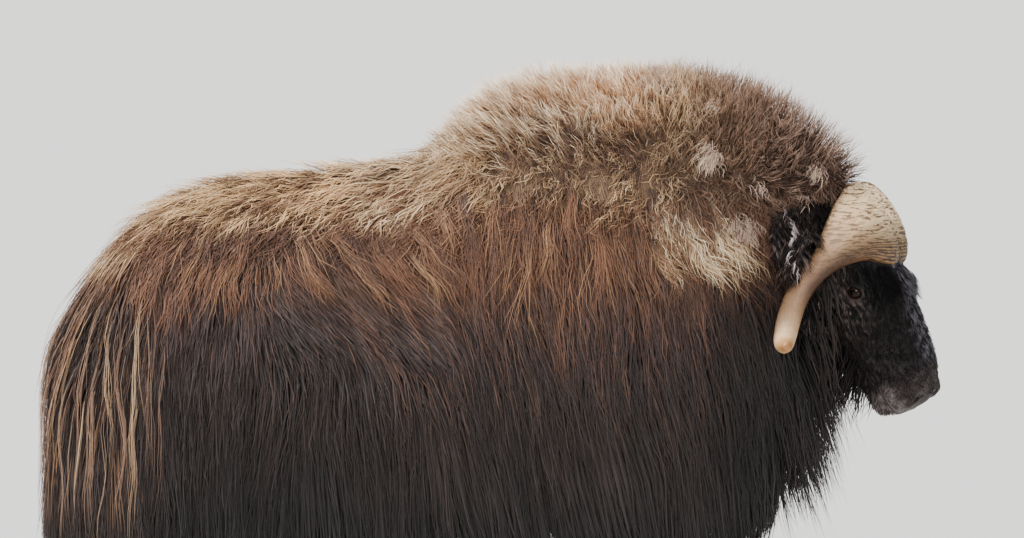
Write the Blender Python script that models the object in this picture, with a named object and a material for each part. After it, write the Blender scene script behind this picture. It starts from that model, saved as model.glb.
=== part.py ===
"""A life-size standing muskox bull, head low and turned to its right, in metres with +Z up.

+X runs from rump to head, +Y is the animal's left, and the floor under the hooves is z = 0.
The origin is on the floor, under the middle of the whole animal.
"""

import math
import random

import bmesh
import bpy
from mathutils import Matrix, Vector
from mathutils.bvhtree import BVHTree

# The gap that touching pieces keep
GAP = 0.0003
# The solver for forms that many locks cross, where EXACT leaves edges that only touch
SOLVER = "MANIFOLD"
# The seed of every random draw
SEED = 18
# How far a cutter grows along its corners, so that its faces stand off by about GAP
GROWTH = 0.0006
# A height over the whole animal
ABOVE_ALL = 2.0
# A distance along the body that is past both its ends
BEYOND_ALL = 2.0

# The coat's outer form, ring by ring from rump to brow. The neck's rings lean forward:
# x at the top, x at the hem, top, height of the widest place, half width, hem
COAT_RINGS = (
    (-1.075, -1.075, 0.720, 0.500, 0.120, 0.330),
    (-1.060, -1.060, 0.790, 0.520, 0.190, 0.300),
    (-1.020, -1.020, 0.875, 0.540, 0.255, 0.285),
    (-0.960, -0.960, 0.965, 0.550, 0.300, 0.280),
    (-0.880, -0.880, 1.052, 0.560, 0.335, 0.275),
    (-0.780, -0.780, 1.128, 0.570, 0.355, 0.275),
    (-0.620, -0.620, 1.172, 0.580, 0.370, 0.270),
    (-0.420, -0.420, 1.196, 0.580, 0.378, 0.270),
    (-0.240, -0.240, 1.214, 0.580, 0.380, 0.270),
    (-0.140, -0.140, 1.242, 0.590, 0.380, 0.270),
    (-0.060, -0.060, 1.312, 0.600, 0.380, 0.270),
    (0.040, 0.040, 1.386, 0.620, 0.380, 0.270),
    (0.180, 0.180, 1.424, 0.640, 0.380, 0.270),
    (0.380, 0.380, 1.440, 0.640, 0.372, 0.280),
    (0.540, 0.525, 1.422, 0.640, 0.338, 0.290),
    (0.660, 0.610, 1.388, 0.680, 0.275, 0.310),
    (0.760, 0.665, 1.348, 0.760, 0.212, 0.340),
    (0.835, 0.700, 1.296, 0.860, 0.178, 0.400),
    (0.888, 0.735, 1.242, 0.960, 0.152, 0.560),
    (0.920, 0.765, 1.182, 1.060, 0.120, 0.820),
)
# Where the rings part into the named pieces of the body, by index
RUMP_END = 6
BARREL_END = 10
SHOULDER_END = 15
RING_POINTS = 20
COAT_TOP_ROUNDNESS = 1.9
COAT_HEM_ROUNDNESS = 3.6
# The neck bends to the right in front of this place, by this much at the brow
NECK_BEND_FROM = 0.40
NECK_BEND = 0.05

# The core under the locks: how far it lies inside the outer form at the top, at the sides
# and lengthways, and how far its belly lies over the hem
CORE_TOP_DEPTH = 0.038
CORE_SIDE_DEPTH = 0.045
CORE_LENGTH_SHARE = 0.962
CORE_BELLY_RISE = 0.225
CORE_WIDEST_SHARE = 0.36
CORE_LOW_ROUNDNESS = 2.5

# Long locks hang in tiers round the body: height of the roots, length, half width, spacing.
# Each length and width varies by these shares, and each root by this height
LOCK_TIERS = (
    (0.580, 0.340, 0.072, 0.120),
    (0.745, 0.370, 0.080, 0.140),
    (0.905, 0.370, 0.082, 0.146),
    (1.055, 0.350, 0.080, 0.150),
)
LOCK_LENGTH_RANGE = (0.85, 1.12)
LOCK_WIDTH_RANGE = (0.85, 1.15)
TIER_WAVER = 0.025
# How far a lock leans back (negative) or forward, how fast it turns down, and how much
# higher than the hem its tip may stay
LOCK_LEAN_RANGE = (-0.30, 0.10)
LOCK_FALL = 0.45
LOCK_HEM_RANGE = (0.0, 0.05)
LOCK_THICKNESS = 0.020
LOCK_SINK = 0.020
# The distance from legs, tail and head, and the depth of a lock's back in the outer form
LOCK_CLEARANCE = 0.004
LOCK_BACK_DEPTH = 0.006
# A face of the outer form that looks down more than this is the belly's, and no lock follows it
UNDERSIDE = -0.35
# Where the tiers run straight along the sides, between these places along the body, and the
# size of their bends round the rump and the chest
TIER_REAR = -0.800
TIER_FRONT = 0.420
TIER_BEND = 0.275
# Share of the lock's width at its root, and at each station after it
LOCK_WIDTHS = (0.62, 1.0, 0.78)
# How far each station after the root has come up from the core to the coat's outer form
LOCK_RISES = (0.60, 0.95, 1.0)
# The saddle's locks lie back over the top of the barrel and rump: first and last x, spacing,
# the rows across it, how fast they turn outwards, and how fast they fall
SADDLE = (-0.860, -0.110, 0.145)
SADDLE_ROWS = (-0.165, -0.055, 0.055, 0.165)
SADDLE_WAVER = (0.030, 0.015)
SADDLE_TURN = 4.5
SADDLE_FALL = 0.10
SADDLE_LENGTH = 0.250
SADDLE_HALF_WIDTH = 0.066
# The wool of hump and neck stands in rounded clumps: first and last x, spacing, radii, the
# height that they are laid out round, how far round it they go, and the lowest root
WOOL = (-0.050, 0.865, 0.130)
WOOL_RADII = (0.088, 0.084, 0.048)
WOOL_MIDDLE = 1.02
WOOL_SPREAD = 1.45
WOOL_LOWEST = 1.06
WOOL_SIZE_RANGE = (0.85, 1.15)
WOOL_WAVER = 0.020
WOOL_SINK = 0.004
# The beard hangs under the jaw: distances along the head, rows across it, by turns, and sizes
BEARD = (0.215, 0.270, 0.325)
BEARD_ROWS = ((-0.065, 0.0, 0.065), (-0.035, 0.035))
BEARD_LENGTH = 0.150
BEARD_HALF_WIDTH = 0.030
BEARD_THICKNESS = 0.016

# The head: its origin is on top of the skull, between the ears
HEAD_PLACE = (0.871, -0.050, 1.109)
HEAD_PITCH = math.radians(62)
HEAD_YAW = math.radians(-24)
# Rings of the head along its own axis, from the back of the skull to the nose:
# distance, top, chin side, half width, height of the widest place
HEAD_RINGS = (
    (-0.060, -0.030, -0.130, 0.060, -0.080),
    (-0.035, 0.015, -0.180, 0.098, -0.080),
    (0.010, 0.040, -0.212, 0.120, -0.080),
    (0.070, 0.050, -0.225, 0.128, -0.095),
    (0.140, 0.054, -0.215, 0.124, -0.090),
    (0.200, 0.058, -0.203, 0.114, -0.075),
    (0.260, 0.060, -0.192, 0.099, -0.065),
    (0.320, 0.056, -0.183, 0.085, -0.065),
    (0.380, 0.046, -0.176, 0.077, -0.075),
    (0.430, 0.032, -0.171, 0.074, -0.080),
    (0.470, 0.012, -0.163, 0.072, -0.080),
    (0.500, -0.015, -0.148, 0.060, -0.080),
    (0.517, -0.045, -0.125, 0.036, -0.083),
)
HEAD_POINTS = 20
HEAD_ROUNDNESS = 2.3

NOSE_WING_PLACE = (0.478, 0.040, -0.040)
NOSE_WING_RADII = (0.036, 0.034, 0.036)
NOSTRIL_PLACE = (0.497, 0.045, -0.052)
NOSTRIL_RADII = (0.020, 0.010, 0.012)
UPPER_LIP_PLACE = (0.488, 0.0, -0.094)
UPPER_LIP_RADII = (0.032, 0.052, 0.026)
LOWER_LIP_PLACE = (0.470, 0.0, -0.142)
LOWER_LIP_RADII = (0.036, 0.044, 0.024)

# The line of the mouth, from its corner to past the lips: distance, height, half thickness
MOUTH_LINE = (
    (0.360, -0.128, 0.0006),
    (0.420, -0.122, 0.002),
    (0.470, -0.118, 0.002),
    (0.560, -0.116, 0.002),
)
MOUTH_DEPTH = 0.008
MOUTH_HALF_WIDTH = 0.120

# Horn of the left side, from the midline groove over the brow to the hooked tip:
# along the head, sideways, height, half length of the section, half thickness
HORN_STATIONS = (
    (0.088, 0.003, 0.041, 0.104, 0.043),
    (0.090, 0.050, 0.042, 0.103, 0.044),
    (0.098, 0.100, 0.020, 0.091, 0.045),
    (0.118, 0.140, -0.016, 0.066, 0.041),
    (0.138, 0.166, -0.058, 0.042, 0.034),
    (0.160, 0.187, -0.102, 0.033, 0.030),
    (0.190, 0.210, -0.141, 0.031, 0.029),
    (0.223, 0.238, -0.170, 0.030, 0.028),
    (0.252, 0.270, -0.185, 0.028, 0.027),
    (0.268, 0.305, -0.183, 0.023, 0.023),
    (0.268, 0.338, -0.170, 0.017, 0.017),
    (0.258, 0.362, -0.152, 0.008, 0.008),
)
HORN_POINTS = 12

EYE_PLACE = (0.236, 0.098, -0.046)
EYE_RADIUS = 0.021
EYE_SEGMENTS = 10
LID_RADII = (0.034, 0.027, 0.028)
SLIT_RADII = (0.019, 0.020, 0.0105)
BROW_PLACE = (0.222, 0.100, -0.018)
BROW_RADII = (0.042, 0.022, 0.013)

# The ear hangs from behind the horn's root, on a bent line
EAR_ROOT = (0.010, 0.095, -0.030)
EAR_MIDDLE = (0.055, 0.250, -0.075)
EAR_TIP = (0.165, 0.245, -0.130)
EAR_FACE = (0.05, 0.95, 0.25)
EAR_HALF_WIDTH = 0.046
EAR_HALF_THICKNESS = 0.020
EAR_POINTS = 10
# Shares of the ear's width and thickness along it, for the leaf and for the cup cut in it
EAR_LEAF = (
    (-0.05, 0.50, 0.9),
    (0.15, 0.78, 1.0),
    (0.40, 1.00, 0.9),
    (0.65, 0.90, 0.8),
    (0.87, 0.56, 0.6),
    (1.00, 0.18, 0.4),
)
EAR_CUP = (
    (0.16, 0.45, 0.5),
    (0.30, 0.85, 0.9),
    (0.50, 1.00, 1.0),
    (0.72, 0.80, 0.8),
    (0.90, 0.35, 0.5),
)

# Legs, from the body down: height, x, half depth, half width
FRONT_LEG = (
    (0.640, 0.455, 0.092, 0.070),
    (0.480, 0.455, 0.082, 0.068),
    (0.360, 0.462, 0.064, 0.056),
    (0.290, 0.466, 0.060, 0.055),
    (0.235, 0.462, 0.050, 0.047),
    (0.160, 0.460, 0.045, 0.043),
    (0.100, 0.463, 0.051, 0.050),
    (0.060, 0.472, 0.048, 0.050),
)
REAR_LEG = (
    (0.660, -0.715, 0.125, 0.078),
    (0.520, -0.740, 0.102, 0.073),
    (0.425, -0.775, 0.073, 0.057),
    (0.355, -0.798, 0.060, 0.050),
    (0.285, -0.790, 0.048, 0.044),
    (0.190, -0.775, 0.043, 0.042),
    (0.105, -0.766, 0.049, 0.048),
    (0.060, -0.756, 0.046, 0.048),
)
LEG_POINTS = 12
FRONT_LEG_SIDE = 0.165
REAR_LEG_SIDE = 0.175
HOOF_HEIGHT = 0.060 - GAP
FRONT_HOOF = (0.078, 0.036)
REAR_HOOF = (0.070, 0.033)
TOE_GAP = 0.005
HOOF_POINTS = 12
# The toe's form from the ground up: share of the height, of the length, of the width, and how
# far it lies forward
HOOF_SHAPE = ((0.0, 1.0, 1.0, 0.012), (0.45, 0.93, 0.96, 0.007), (1.0, 0.62, 0.76, 0.0))

TAIL_ROOT = (-0.960, 0.0, 0.865)
TAIL_TIP = (-1.068, 0.0, 0.700)
TAIL_RADIUS = 0.034
TAIL_POINTS = 10
# The tail's size along it, as shares of its length and of its radius
TAIL_SHAPE = ((0.0, 0.75), (0.35, 1.0), (0.75, 0.8), (1.0, 0.25))

# Colour, roughness of each material, from the photograph
COLOURS = {
    "long_coat": ((0.085, 0.048, 0.034), 0.85),
    "shoulder_wool": ((0.170, 0.100, 0.065), 0.90),
    "face_fur": ((0.022, 0.018, 0.018), 0.80),
    "leg_fur": ((0.310, 0.255, 0.200), 0.85),
    "horn": ((0.480, 0.360, 0.230), 0.55),
    "eye": ((0.012, 0.008, 0.006), 0.12),
    "hoof": ((0.030, 0.026, 0.024), 0.50),
}


def material(name):
    """The named material, made once."""
    found = bpy.data.materials.get(name)
    if found:
        return found
    colour, roughness = COLOURS[name]
    made = bpy.data.materials.new(name)
    made.use_nodes = True
    shader = made.node_tree.nodes["Principled BSDF"]
    shader.inputs["Base Color"].default_value = (*colour, 1.0)
    shader.inputs["Roughness"].default_value = roughness
    shader.inputs["Metallic"].default_value = 0.0
    return made


def piece(name, mesh, finish, collection, parent=None):
    """A named object that holds the mesh, in the finish given."""
    made = bpy.data.objects.new(name, mesh)
    collection.objects.link(made)
    mesh.materials.clear()
    mesh.materials.append(material(finish))
    made.parent = parent
    return made


def superellipse(angle, half_width, up, down, top_roundness, low_roundness):
    """A point of a rounded section: sideways and up from its widest place. Angle 0 is the top."""
    side = math.sin(angle)
    rise = math.cos(angle)
    roundness = top_roundness if rise >= 0 else low_roundness
    reach = up if rise >= 0 else down
    return (
        half_width * math.copysign(abs(side) ** (2 / roundness), side),
        reach * math.copysign(abs(rise) ** (2 / roundness), rise),
    )


def loft(rings):
    """A closed mesh through rings of as many points each, with a fan over each end."""
    shape = bmesh.new()
    rows = [[shape.verts.new(point) for point in ring] for ring in rings]
    count = len(rows[0])
    for here, there in zip(rows, rows[1:]):
        for i in range(count):
            j = (i + 1) % count
            shape.faces.new((here[i], here[j], there[j], there[i]))
    for row in (rows[0], rows[-1]):
        middle = shape.verts.new(sum((v.co for v in row), Vector()) / count)
        for i in range(count):
            shape.faces.new((row[i], row[(i + 1) % count], middle))
    bmesh.ops.recalc_face_normals(shape, faces=shape.faces)
    bmesh.ops.triangulate(shape, faces=shape.faces)
    mesh = bpy.data.meshes.new("loft")
    shape.to_mesh(mesh)
    shape.free()
    return mesh


def applied(target):
    """Turns the object's modifiers into its mesh."""
    graph = bpy.context.evaluated_depsgraph_get()
    mesh = bpy.data.meshes.new_from_object(target.evaluated_get(graph))
    target.modifiers.clear()
    target.data = mesh


def cut(target, *cutters):
    """Takes the cutters away from the target."""
    for cutter in cutters:
        step = target.modifiers.new("cut", "BOOLEAN")
        step.operation = "DIFFERENCE"
        step.object = cutter
        step.solver = SOLVER
    applied(target)


def join(target, *others):
    """Fuses the others into the target and removes them."""
    for other in others:
        step = target.modifiers.new("join", "BOOLEAN")
        step.operation = "UNION"
        step.object = other
        step.solver = SOLVER
    applied(target)
    for other in others:
        bpy.data.objects.remove(other)


def fuse(target, growths):
    """Fuses all the growths into the target in one union and removes them."""
    together = bpy.data.collections.new("growths")
    for growth in growths:
        together.objects.link(growth)
    step = target.modifiers.new("fuse", "BOOLEAN")
    step.operation = "UNION"
    step.operand_type = "COLLECTION"
    step.collection = together
    step.solver = SOLVER
    applied(target)
    for growth in growths:
        bpy.data.objects.remove(growth)
    bpy.data.collections.remove(together)


def grown(source, by=GROWTH):
    """A copy for cutting, that stands off the source by a little all round."""
    mesh = source.data.copy()
    normals = [vertex.normal.copy() for vertex in mesh.vertices]
    for vertex, normal in zip(mesh.vertices, normals):
        vertex.co += normal * by
    made = bpy.data.objects.new(source.name + "_room", mesh)
    cutters.objects.link(made)
    bpy.context.view_layer.update()
    made.matrix_world = source.matrix_world
    made.hide_render = True
    made.display_type = "WIRE"
    return made


def helper(name, mesh, parent=None):
    """A cutter or a form to be fused, which is no piece of its own."""
    made = bpy.data.objects.new(name, mesh)
    cutters.objects.link(made)
    made.parent = parent
    made.hide_render = True
    made.display_type = "WIRE"
    return made


def ellipsoid(name, place, radii, parent=None, rings=8, segments=12, turn=None):
    """A helper ellipsoid."""
    shape = bmesh.new()
    bmesh.ops.create_uvsphere(shape, u_segments=segments, v_segments=rings, radius=1.0)
    matrix = Matrix.Translation(place)
    if turn is not None:
        matrix = matrix @ turn
    matrix = matrix @ Matrix.Diagonal((*radii, 1.0))
    bmesh.ops.transform(shape, matrix=matrix, verts=shape.verts)
    mesh = bpy.data.meshes.new(name)
    shape.to_mesh(mesh)
    shape.free()
    return helper(name, mesh, parent)


def largest(target):
    """Keeps the target's largest closed surface only."""
    shape = bmesh.new()
    shape.from_mesh(target.data)
    shape.faces.ensure_lookup_table()
    seen = set()
    groups = []
    for start in shape.faces:
        if start in seen:
            continue
        group = [start]
        seen.add(start)
        for face in group:
            for edge in face.edges:
                if len(edge.link_faces) != 2:
                    continue
                for near in edge.link_faces:
                    if near not in seen:
                        seen.add(near)
                        group.append(near)
        groups.append(group)
    groups.sort(key=lambda group: sum(face.calc_area() for face in group))
    scraps = [face for group in groups[:-1] for face in group]
    bmesh.ops.delete(shape, geom=scraps, context="FACES")
    shape.to_mesh(target.data)
    shape.free()


def mirrored(source, name, finish, collection, parent):
    """The other side's piece, turned over the head's or body's middle plane."""
    shape = bmesh.new()
    shape.from_mesh(source.data)
    bmesh.ops.transform(shape, matrix=Matrix.Diagonal((1, -1, 1, 1)), verts=shape.verts)
    bmesh.ops.reverse_faces(shape, faces=shape.faces)
    mesh = bpy.data.meshes.new(name)
    shape.to_mesh(mesh)
    shape.free()
    return piece(name, mesh, finish, collection, parent)


def neck_bend(x):
    """How far the body's middle lies to the left of y = 0 at this x."""
    reach = HEAD_PLACE[0] - NECK_BEND_FROM
    t = min(max((x - NECK_BEND_FROM) / reach, 0.0), 1.0)
    return -NECK_BEND * t * t * (3 - 2 * t)


def coat_ring(row):
    """The points of one ring of the coat's outer form."""
    x_top, x_hem, top, widest, half_width, hem = row
    points = []
    for i in range(RING_POINTS):
        side, rise = superellipse(
            2 * math.pi * i / RING_POINTS,
            half_width,
            top - widest,
            widest - hem,
            COAT_TOP_ROUNDNESS,
            COAT_HEM_ROUNDNESS,
        )
        height = widest + rise
        x = x_hem + (x_top - x_hem) * (height - hem) / (top - hem)
        points.append(Vector((x, neck_bend(x_top) + side, height)))
    return points


def core_ring(row):
    """The points of one ring of the core under the locks."""
    x_top, x_hem, top, _, half_width, hem = row
    core_top = top - CORE_TOP_DEPTH
    low = hem + CORE_BELLY_RISE * min(1.0, (core_top - hem) / 0.6)
    widest = low + CORE_WIDEST_SHARE * (core_top - low)
    points = []
    for i in range(RING_POINTS):
        side, rise = superellipse(
            2 * math.pi * i / RING_POINTS,
            half_width - CORE_SIDE_DEPTH,
            core_top - widest,
            widest - low,
            COAT_TOP_ROUNDNESS,
            CORE_LOW_ROUNDNESS,
        )
        height = widest + rise
        x = x_hem + (x_top - x_hem) * (height - hem) / (top - hem)
        points.append(Vector((x * CORE_LENGTH_SHARE, neck_bend(x_top) + side, height)))
    return points


def tree(mesh, place=None):
    """A search tree over a mesh, moved by the place's matrix, for nearest places and for rays."""
    shape = bmesh.new()
    shape.from_mesh(mesh)
    if place is not None:
        bmesh.ops.transform(shape, matrix=place, verts=shape.verts)
    found = BVHTree.FromBMesh(shape)
    shape.free()
    return found


def hem_at(x):
    """Height of the coat's hem at this x."""
    for before, after in zip(COAT_RINGS, COAT_RINGS[1:]):
        if x <= after[1]:
            t = min(max((x - before[1]) / (after[1] - before[1]), 0.0), 1.0)
            return before[5] + (after[5] - before[5]) * t
    return COAT_RINGS[-1][5]


def lock_mesh(points, sides, outs, half_width, thickness):
    """A flat, tapered lock: three sided rings along the points, closed at the root and at the tip."""
    shape = bmesh.new()
    rows = []
    for point, side, out, share in zip(points[:-1], sides, outs, LOCK_WIDTHS):
        rows.append(
            [
                shape.verts.new(point - side * half_width * share),
                shape.verts.new(point + out * thickness * share),
                shape.verts.new(point + side * half_width * share),
            ]
        )
    tip = shape.verts.new(points[-1])
    for here, there in zip(rows, rows[1:]):
        for i in range(3):
            j = (i + 1) % 3
            shape.faces.new((here[i], here[j], there[j], there[i]))
    shape.faces.new(rows[0])
    for i in range(3):
        shape.faces.new((rows[-1][i], rows[-1][(i + 1) % 3], tip))
    bmesh.ops.recalc_face_normals(shape, faces=shape.faces)
    bmesh.ops.triangulate(shape, faces=shape.faces)
    mesh = bpy.data.meshes.new("lock")
    shape.to_mesh(mesh)
    shape.free()
    return mesh


def hanging_lock(root, normal, way, length, half_width, fall, floor):
    """A lock that leaves the core at the root, comes up to the coat's outer form and falls along it.

    way is its first direction, fall how fast it turns down, and floor the lowest height of its tip.
    """
    count = len(LOCK_WIDTHS)
    step = length / count
    points = [root - normal * LOCK_SINK]
    outs = [normal]
    point = root
    for k in range(count):
        way = (way * (1 - fall) + Vector((0, 0, -1)) * fall).normalized()
        point = point + way * step
        near, out, _, _ = outer_tree.find_nearest(point)
        if out.z > UNDERSIDE:
            point = point.lerp(near - out * LOCK_BACK_DEPTH, LOCK_RISES[k])
            out = Vector((out.x, out.y, max(out.z, 0.0))).normalized()
        else:
            out = outs[-1]
        point.z = max(point.z, floor)
        points.append(point.copy())
        outs.append(out)
    sides = []
    for k in range(count):
        side = (points[k + 1] - points[k]).cross(outs[k + 1])
        sides.append(side.normalized())
    outs[0] = sides[0].cross(points[1] - points[0]).normalized()
    return lock_mesh(points, sides, outs, half_width, LOCK_THICKNESS)


def tier_rays(height, spacing, shift):
    """Rays from inside the body towards the roots of one tier, all the way round it."""
    rays = []
    straight = TIER_FRONT - TIER_REAR
    along_side = max(1, round(straight / spacing))
    for side in (1, -1):
        for k in range(along_side):
            x = TIER_REAR + straight * (k + shift) / along_side
            rays.append((Vector((x, 0, height)), Vector((0, side, 0))))
    for end, place in ((-1, TIER_REAR), (1, TIER_FRONT)):
        around = max(3, round(math.pi * TIER_BEND / spacing))
        for k in range(around):
            angle = math.pi * (k + 0.5) / around
            way = Vector((end * math.sin(angle), math.cos(angle), 0))
            rays.append((Vector((place, 0, height)), way))
    return rays


def crosses(mesh, rooms):
    """Whether the mesh runs into one of the rooms, given as search trees."""
    found = tree(mesh)
    return any(found.overlap(room) for room in rooms)


def tier_locks(draw, rooms):
    """The long locks of all tiers that keep clear of the rooms, as (x of the root, helper)."""
    locks = []
    for number, (height, length, half_width, spacing) in enumerate(LOCK_TIERS):
        for origin, ray in tier_rays(height, spacing, 0.25 + 0.5 * (number % 2)):
            start = origin + Vector((0, 0, draw.uniform(-TIER_WAVER, TIER_WAVER)))
            root, normal, _, _ = core_tree.ray_cast(start, ray)
            if root is None:
                continue
            lean = Vector((draw.uniform(*LOCK_LEAN_RANGE), 0, 0))
            way = (ray * 0.6 + Vector((0, 0, -1)) + lean).normalized()
            floor = hem_at(root.x) + draw.uniform(*LOCK_HEM_RANGE)
            size = length * draw.uniform(*LOCK_LENGTH_RANGE)
            wide = half_width * draw.uniform(*LOCK_WIDTH_RANGE)
            mesh = hanging_lock(root, normal, way, size, wide, LOCK_FALL, floor)
            if not crosses(mesh, rooms):
                locks.append((root.x, helper("lock", mesh)))
    return locks


def saddle_locks(draw):
    """The shorter locks that lie back and outwards over the top of barrel and rump."""
    locks = []
    first, last, spacing = SADDLE
    count = round((last - first) / spacing)
    for k in range(count + 1):
        x = first + (last - first) * k / count
        for y in SADDLE_ROWS:
            to_front = draw.uniform(-SADDLE_WAVER[0], SADDLE_WAVER[0])
            to_left = draw.uniform(-SADDLE_WAVER[1], SADDLE_WAVER[1])
            start = Vector((x + to_front, y + to_left, ABOVE_ALL))
            root, normal, _, _ = core_tree.ray_cast(start, Vector((0, 0, -1)))
            if root is None:
                continue
            way = Vector((-1.0, SADDLE_TURN * y, 0.25)).normalized()
            size = SADDLE_LENGTH * draw.uniform(*LOCK_LENGTH_RANGE)
            wide = SADDLE_HALF_WIDTH * draw.uniform(*LOCK_WIDTH_RANGE)
            mesh = hanging_lock(root, normal, way, size, wide, SADDLE_FALL, 0.0)
            locks.append((root.x, helper("lock", mesh)))
    return locks


def wool_clumps(draw):
    """The rounded clumps over hump and neck."""
    clumps = []
    first, last, spacing = WOOL
    count = round((last - first) / spacing)
    for k in range(count + 1):
        x = first + (last - first) * k / count
        around = 6 if 0 < k < count else 4
        for j in range(around):
            angle = WOOL_SPREAD * (2 * (j + 0.5 * (k % 2) + 0.25) / around - 1)
            ray = Vector((0, math.sin(angle), math.cos(angle)))
            to_front = draw.uniform(-WOOL_WAVER, WOOL_WAVER)
            start = Vector((x + to_front, neck_bend(x), WOOL_MIDDLE))
            root, normal, _, _ = core_tree.ray_cast(start, ray)
            if root is None or root.z < WOOL_LOWEST:
                continue
            size = draw.uniform(*WOOL_SIZE_RANGE)
            turn = normal.to_track_quat("Z", "Y").to_matrix().to_4x4()
            radii = [radius * size for radius in WOOL_RADII]
            clump = ellipsoid("clump", root - normal * WOOL_SINK, radii, None, 4, 7, turn)
            clumps.append((root.x, clump))
    return clumps


def beard_locks(draw):
    """Locks that hang straight down from the jaw of the lowered head."""
    down = head_pose.matrix_world.to_3x3().inverted() @ Vector((0, 0, -1))
    locks = []
    skull = tree(head.data)
    for number, distance in enumerate(BEARD):
        for across in BEARD_ROWS[number % 2]:
            start = Vector((distance, across, -0.08))
            root, normal, _, _ = skull.ray_cast(start, Vector((0, 0, -1)))
            if root is None:
                continue
            size = BEARD_LENGTH * draw.uniform(*LOCK_LENGTH_RANGE)
            way = (normal + down * 0.6).normalized()
            points = [root - normal * LOCK_SINK]
            point = root
            for _ in LOCK_WIDTHS:
                way = (way * 0.5 + down * 0.5).normalized()
                point = point + way * size / len(LOCK_WIDTHS)
                points.append(point.copy())
            out = Vector((1, 0, 0))
            sides = [(b - a).cross(out).normalized() for a, b in zip(points, points[1:])]
            outs = [out] * len(LOCK_WIDTHS)
            mesh = lock_mesh(points, sides, outs, BEARD_HALF_WIDTH, BEARD_THICKNESS)
            locks.append(helper("beard", mesh, head_pose))
    return locks


def slab_mesh(first, last):
    """The room of one length of the body, between two rings, with leaning end faces."""
    corners = []
    for index, inward in ((first, 1), (last, -1)):
        x_top, x_hem, top, _, _, hem = COAT_RINGS[index]
        lean = (x_top - x_hem) / (top - hem)
        outside = index in (0, len(COAT_RINGS) - 1)
        for height in (0.0, ABOVE_ALL):
            x = x_hem + lean * (height - hem) + inward * GAP / 2
            if outside:
                x = -BEYOND_ALL * inward
            corners.append((x, height))
    rings = []
    for low, high in (corners[:2], corners[2:]):
        rings.append(
            [
                Vector((low[0], -1.0, low[1])),
                Vector((low[0], 1.0, low[1])),
                Vector((high[0], 1.0, high[1])),
                Vector((high[0], -1.0, high[1])),
            ]
        )
    return loft(rings)


def body_piece(name, first, last, finish, growths):
    """One length of the body: the core with the locks and clumps that root in it."""
    made = piece(name, core_form.copy(), finish, animal)
    low = -BEYOND_ALL if first == 0 else COAT_RINGS[first][1]
    high = BEYOND_ALL if last == len(COAT_RINGS) - 1 else COAT_RINGS[last][1]
    fuse(made, [growth for x, growth in growths if low < x <= high])
    room = helper("room", slab_mesh(first, last))
    step = made.modifiers.new("part", "BOOLEAN")
    step.operation = "INTERSECT"
    step.object = room
    step.solver = SOLVER
    applied(made)
    largest(made)
    return made


def head_ring(row, inset=0.0):
    """The points of one ring of the head, drawn in by the inset."""
    distance, top, low, half_width, widest = row
    points = []
    for i in range(HEAD_POINTS):
        side, rise = superellipse(
            2 * math.pi * i / HEAD_POINTS,
            half_width - inset,
            top - widest - inset,
            widest - low - inset,
            HEAD_ROUNDNESS,
            HEAD_ROUNDNESS,
        )
        points.append(Vector((distance, side, widest + rise)))
    return points


def side_place(place, side):
    """A place given for the outer side of one half, on side 1 for left and -1 for right."""
    return Vector((place[0], place[1] * side, place[2]))


def horn_mesh():
    """The left horn, as a loft across the brow and down beside the cheek."""
    middles = [Vector(row[:3]) for row in HORN_STATIONS]
    rings = []
    for k, row in enumerate(HORN_STATIONS):
        ahead = middles[min(k + 1, len(middles) - 1)]
        behind = middles[max(k - 1, 0)]
        way = (ahead - behind).normalized()
        if k == 0:
            way = Vector((0, 1, 0))
        length_way = (Vector((1, 0, 0)) - way * way.x).normalized()
        thick_way = way.cross(length_way)
        ring = []
        for i in range(HORN_POINTS):
            angle = 2 * math.pi * i / HORN_POINTS
            ring.append(
                middles[k]
                + length_way * row[3] * math.cos(angle)
                + thick_way * row[4] * math.sin(angle)
            )
        rings.append(ring)
    return loft(rings)


def ear_line(t):
    """A point of the ear's bent middle line, from root to tip."""
    root, middle, tip = Vector(EAR_ROOT), Vector(EAR_MIDDLE), Vector(EAR_TIP)
    return root * (1 - t) ** 2 + middle * 2 * t * (1 - t) + tip * t * t


def ear_frame(t):
    """The ear's directions at t: along it, out of its cup, and across it."""
    way = (ear_line(t + 0.02) - ear_line(t - 0.02)).normalized()
    face = Vector(EAR_FACE)
    face = (face - way * face.dot(way)).normalized()
    return way, face, way.cross(face)


def ear_mesh(profile, lift=0.0, wide_by=1.0, thick_by=1.0):
    """A leaf along the left ear's line: at each t its share of the width and thickness."""
    rings = []
    for t, wide, thick in profile:
        way, face, across = ear_frame(t)
        ring = []
        for i in range(EAR_POINTS):
            angle = 2 * math.pi * i / EAR_POINTS
            ring.append(
                ear_line(t)
                + face * (lift + EAR_HALF_THICKNESS * thick_by * thick * math.sin(angle))
                + across * EAR_HALF_WIDTH * wide_by * wide * math.cos(angle)
            )
        rings.append(ring)
    return loft(rings)


def leg_mesh(stations, side_place_y):
    """One leg on the left side, from the body to the pastern."""
    rings = []
    for height, x, half_depth, half_width in stations:
        ring = []
        for i in range(LEG_POINTS):
            angle = 2 * math.pi * i / LEG_POINTS
            ring.append(
                Vector(
                    (
                        x + half_depth * math.cos(angle),
                        side_place_y + half_width * math.sin(angle),
                        height,
                    )
                )
            )
        rings.append(ring)
    return loft(rings)


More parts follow.
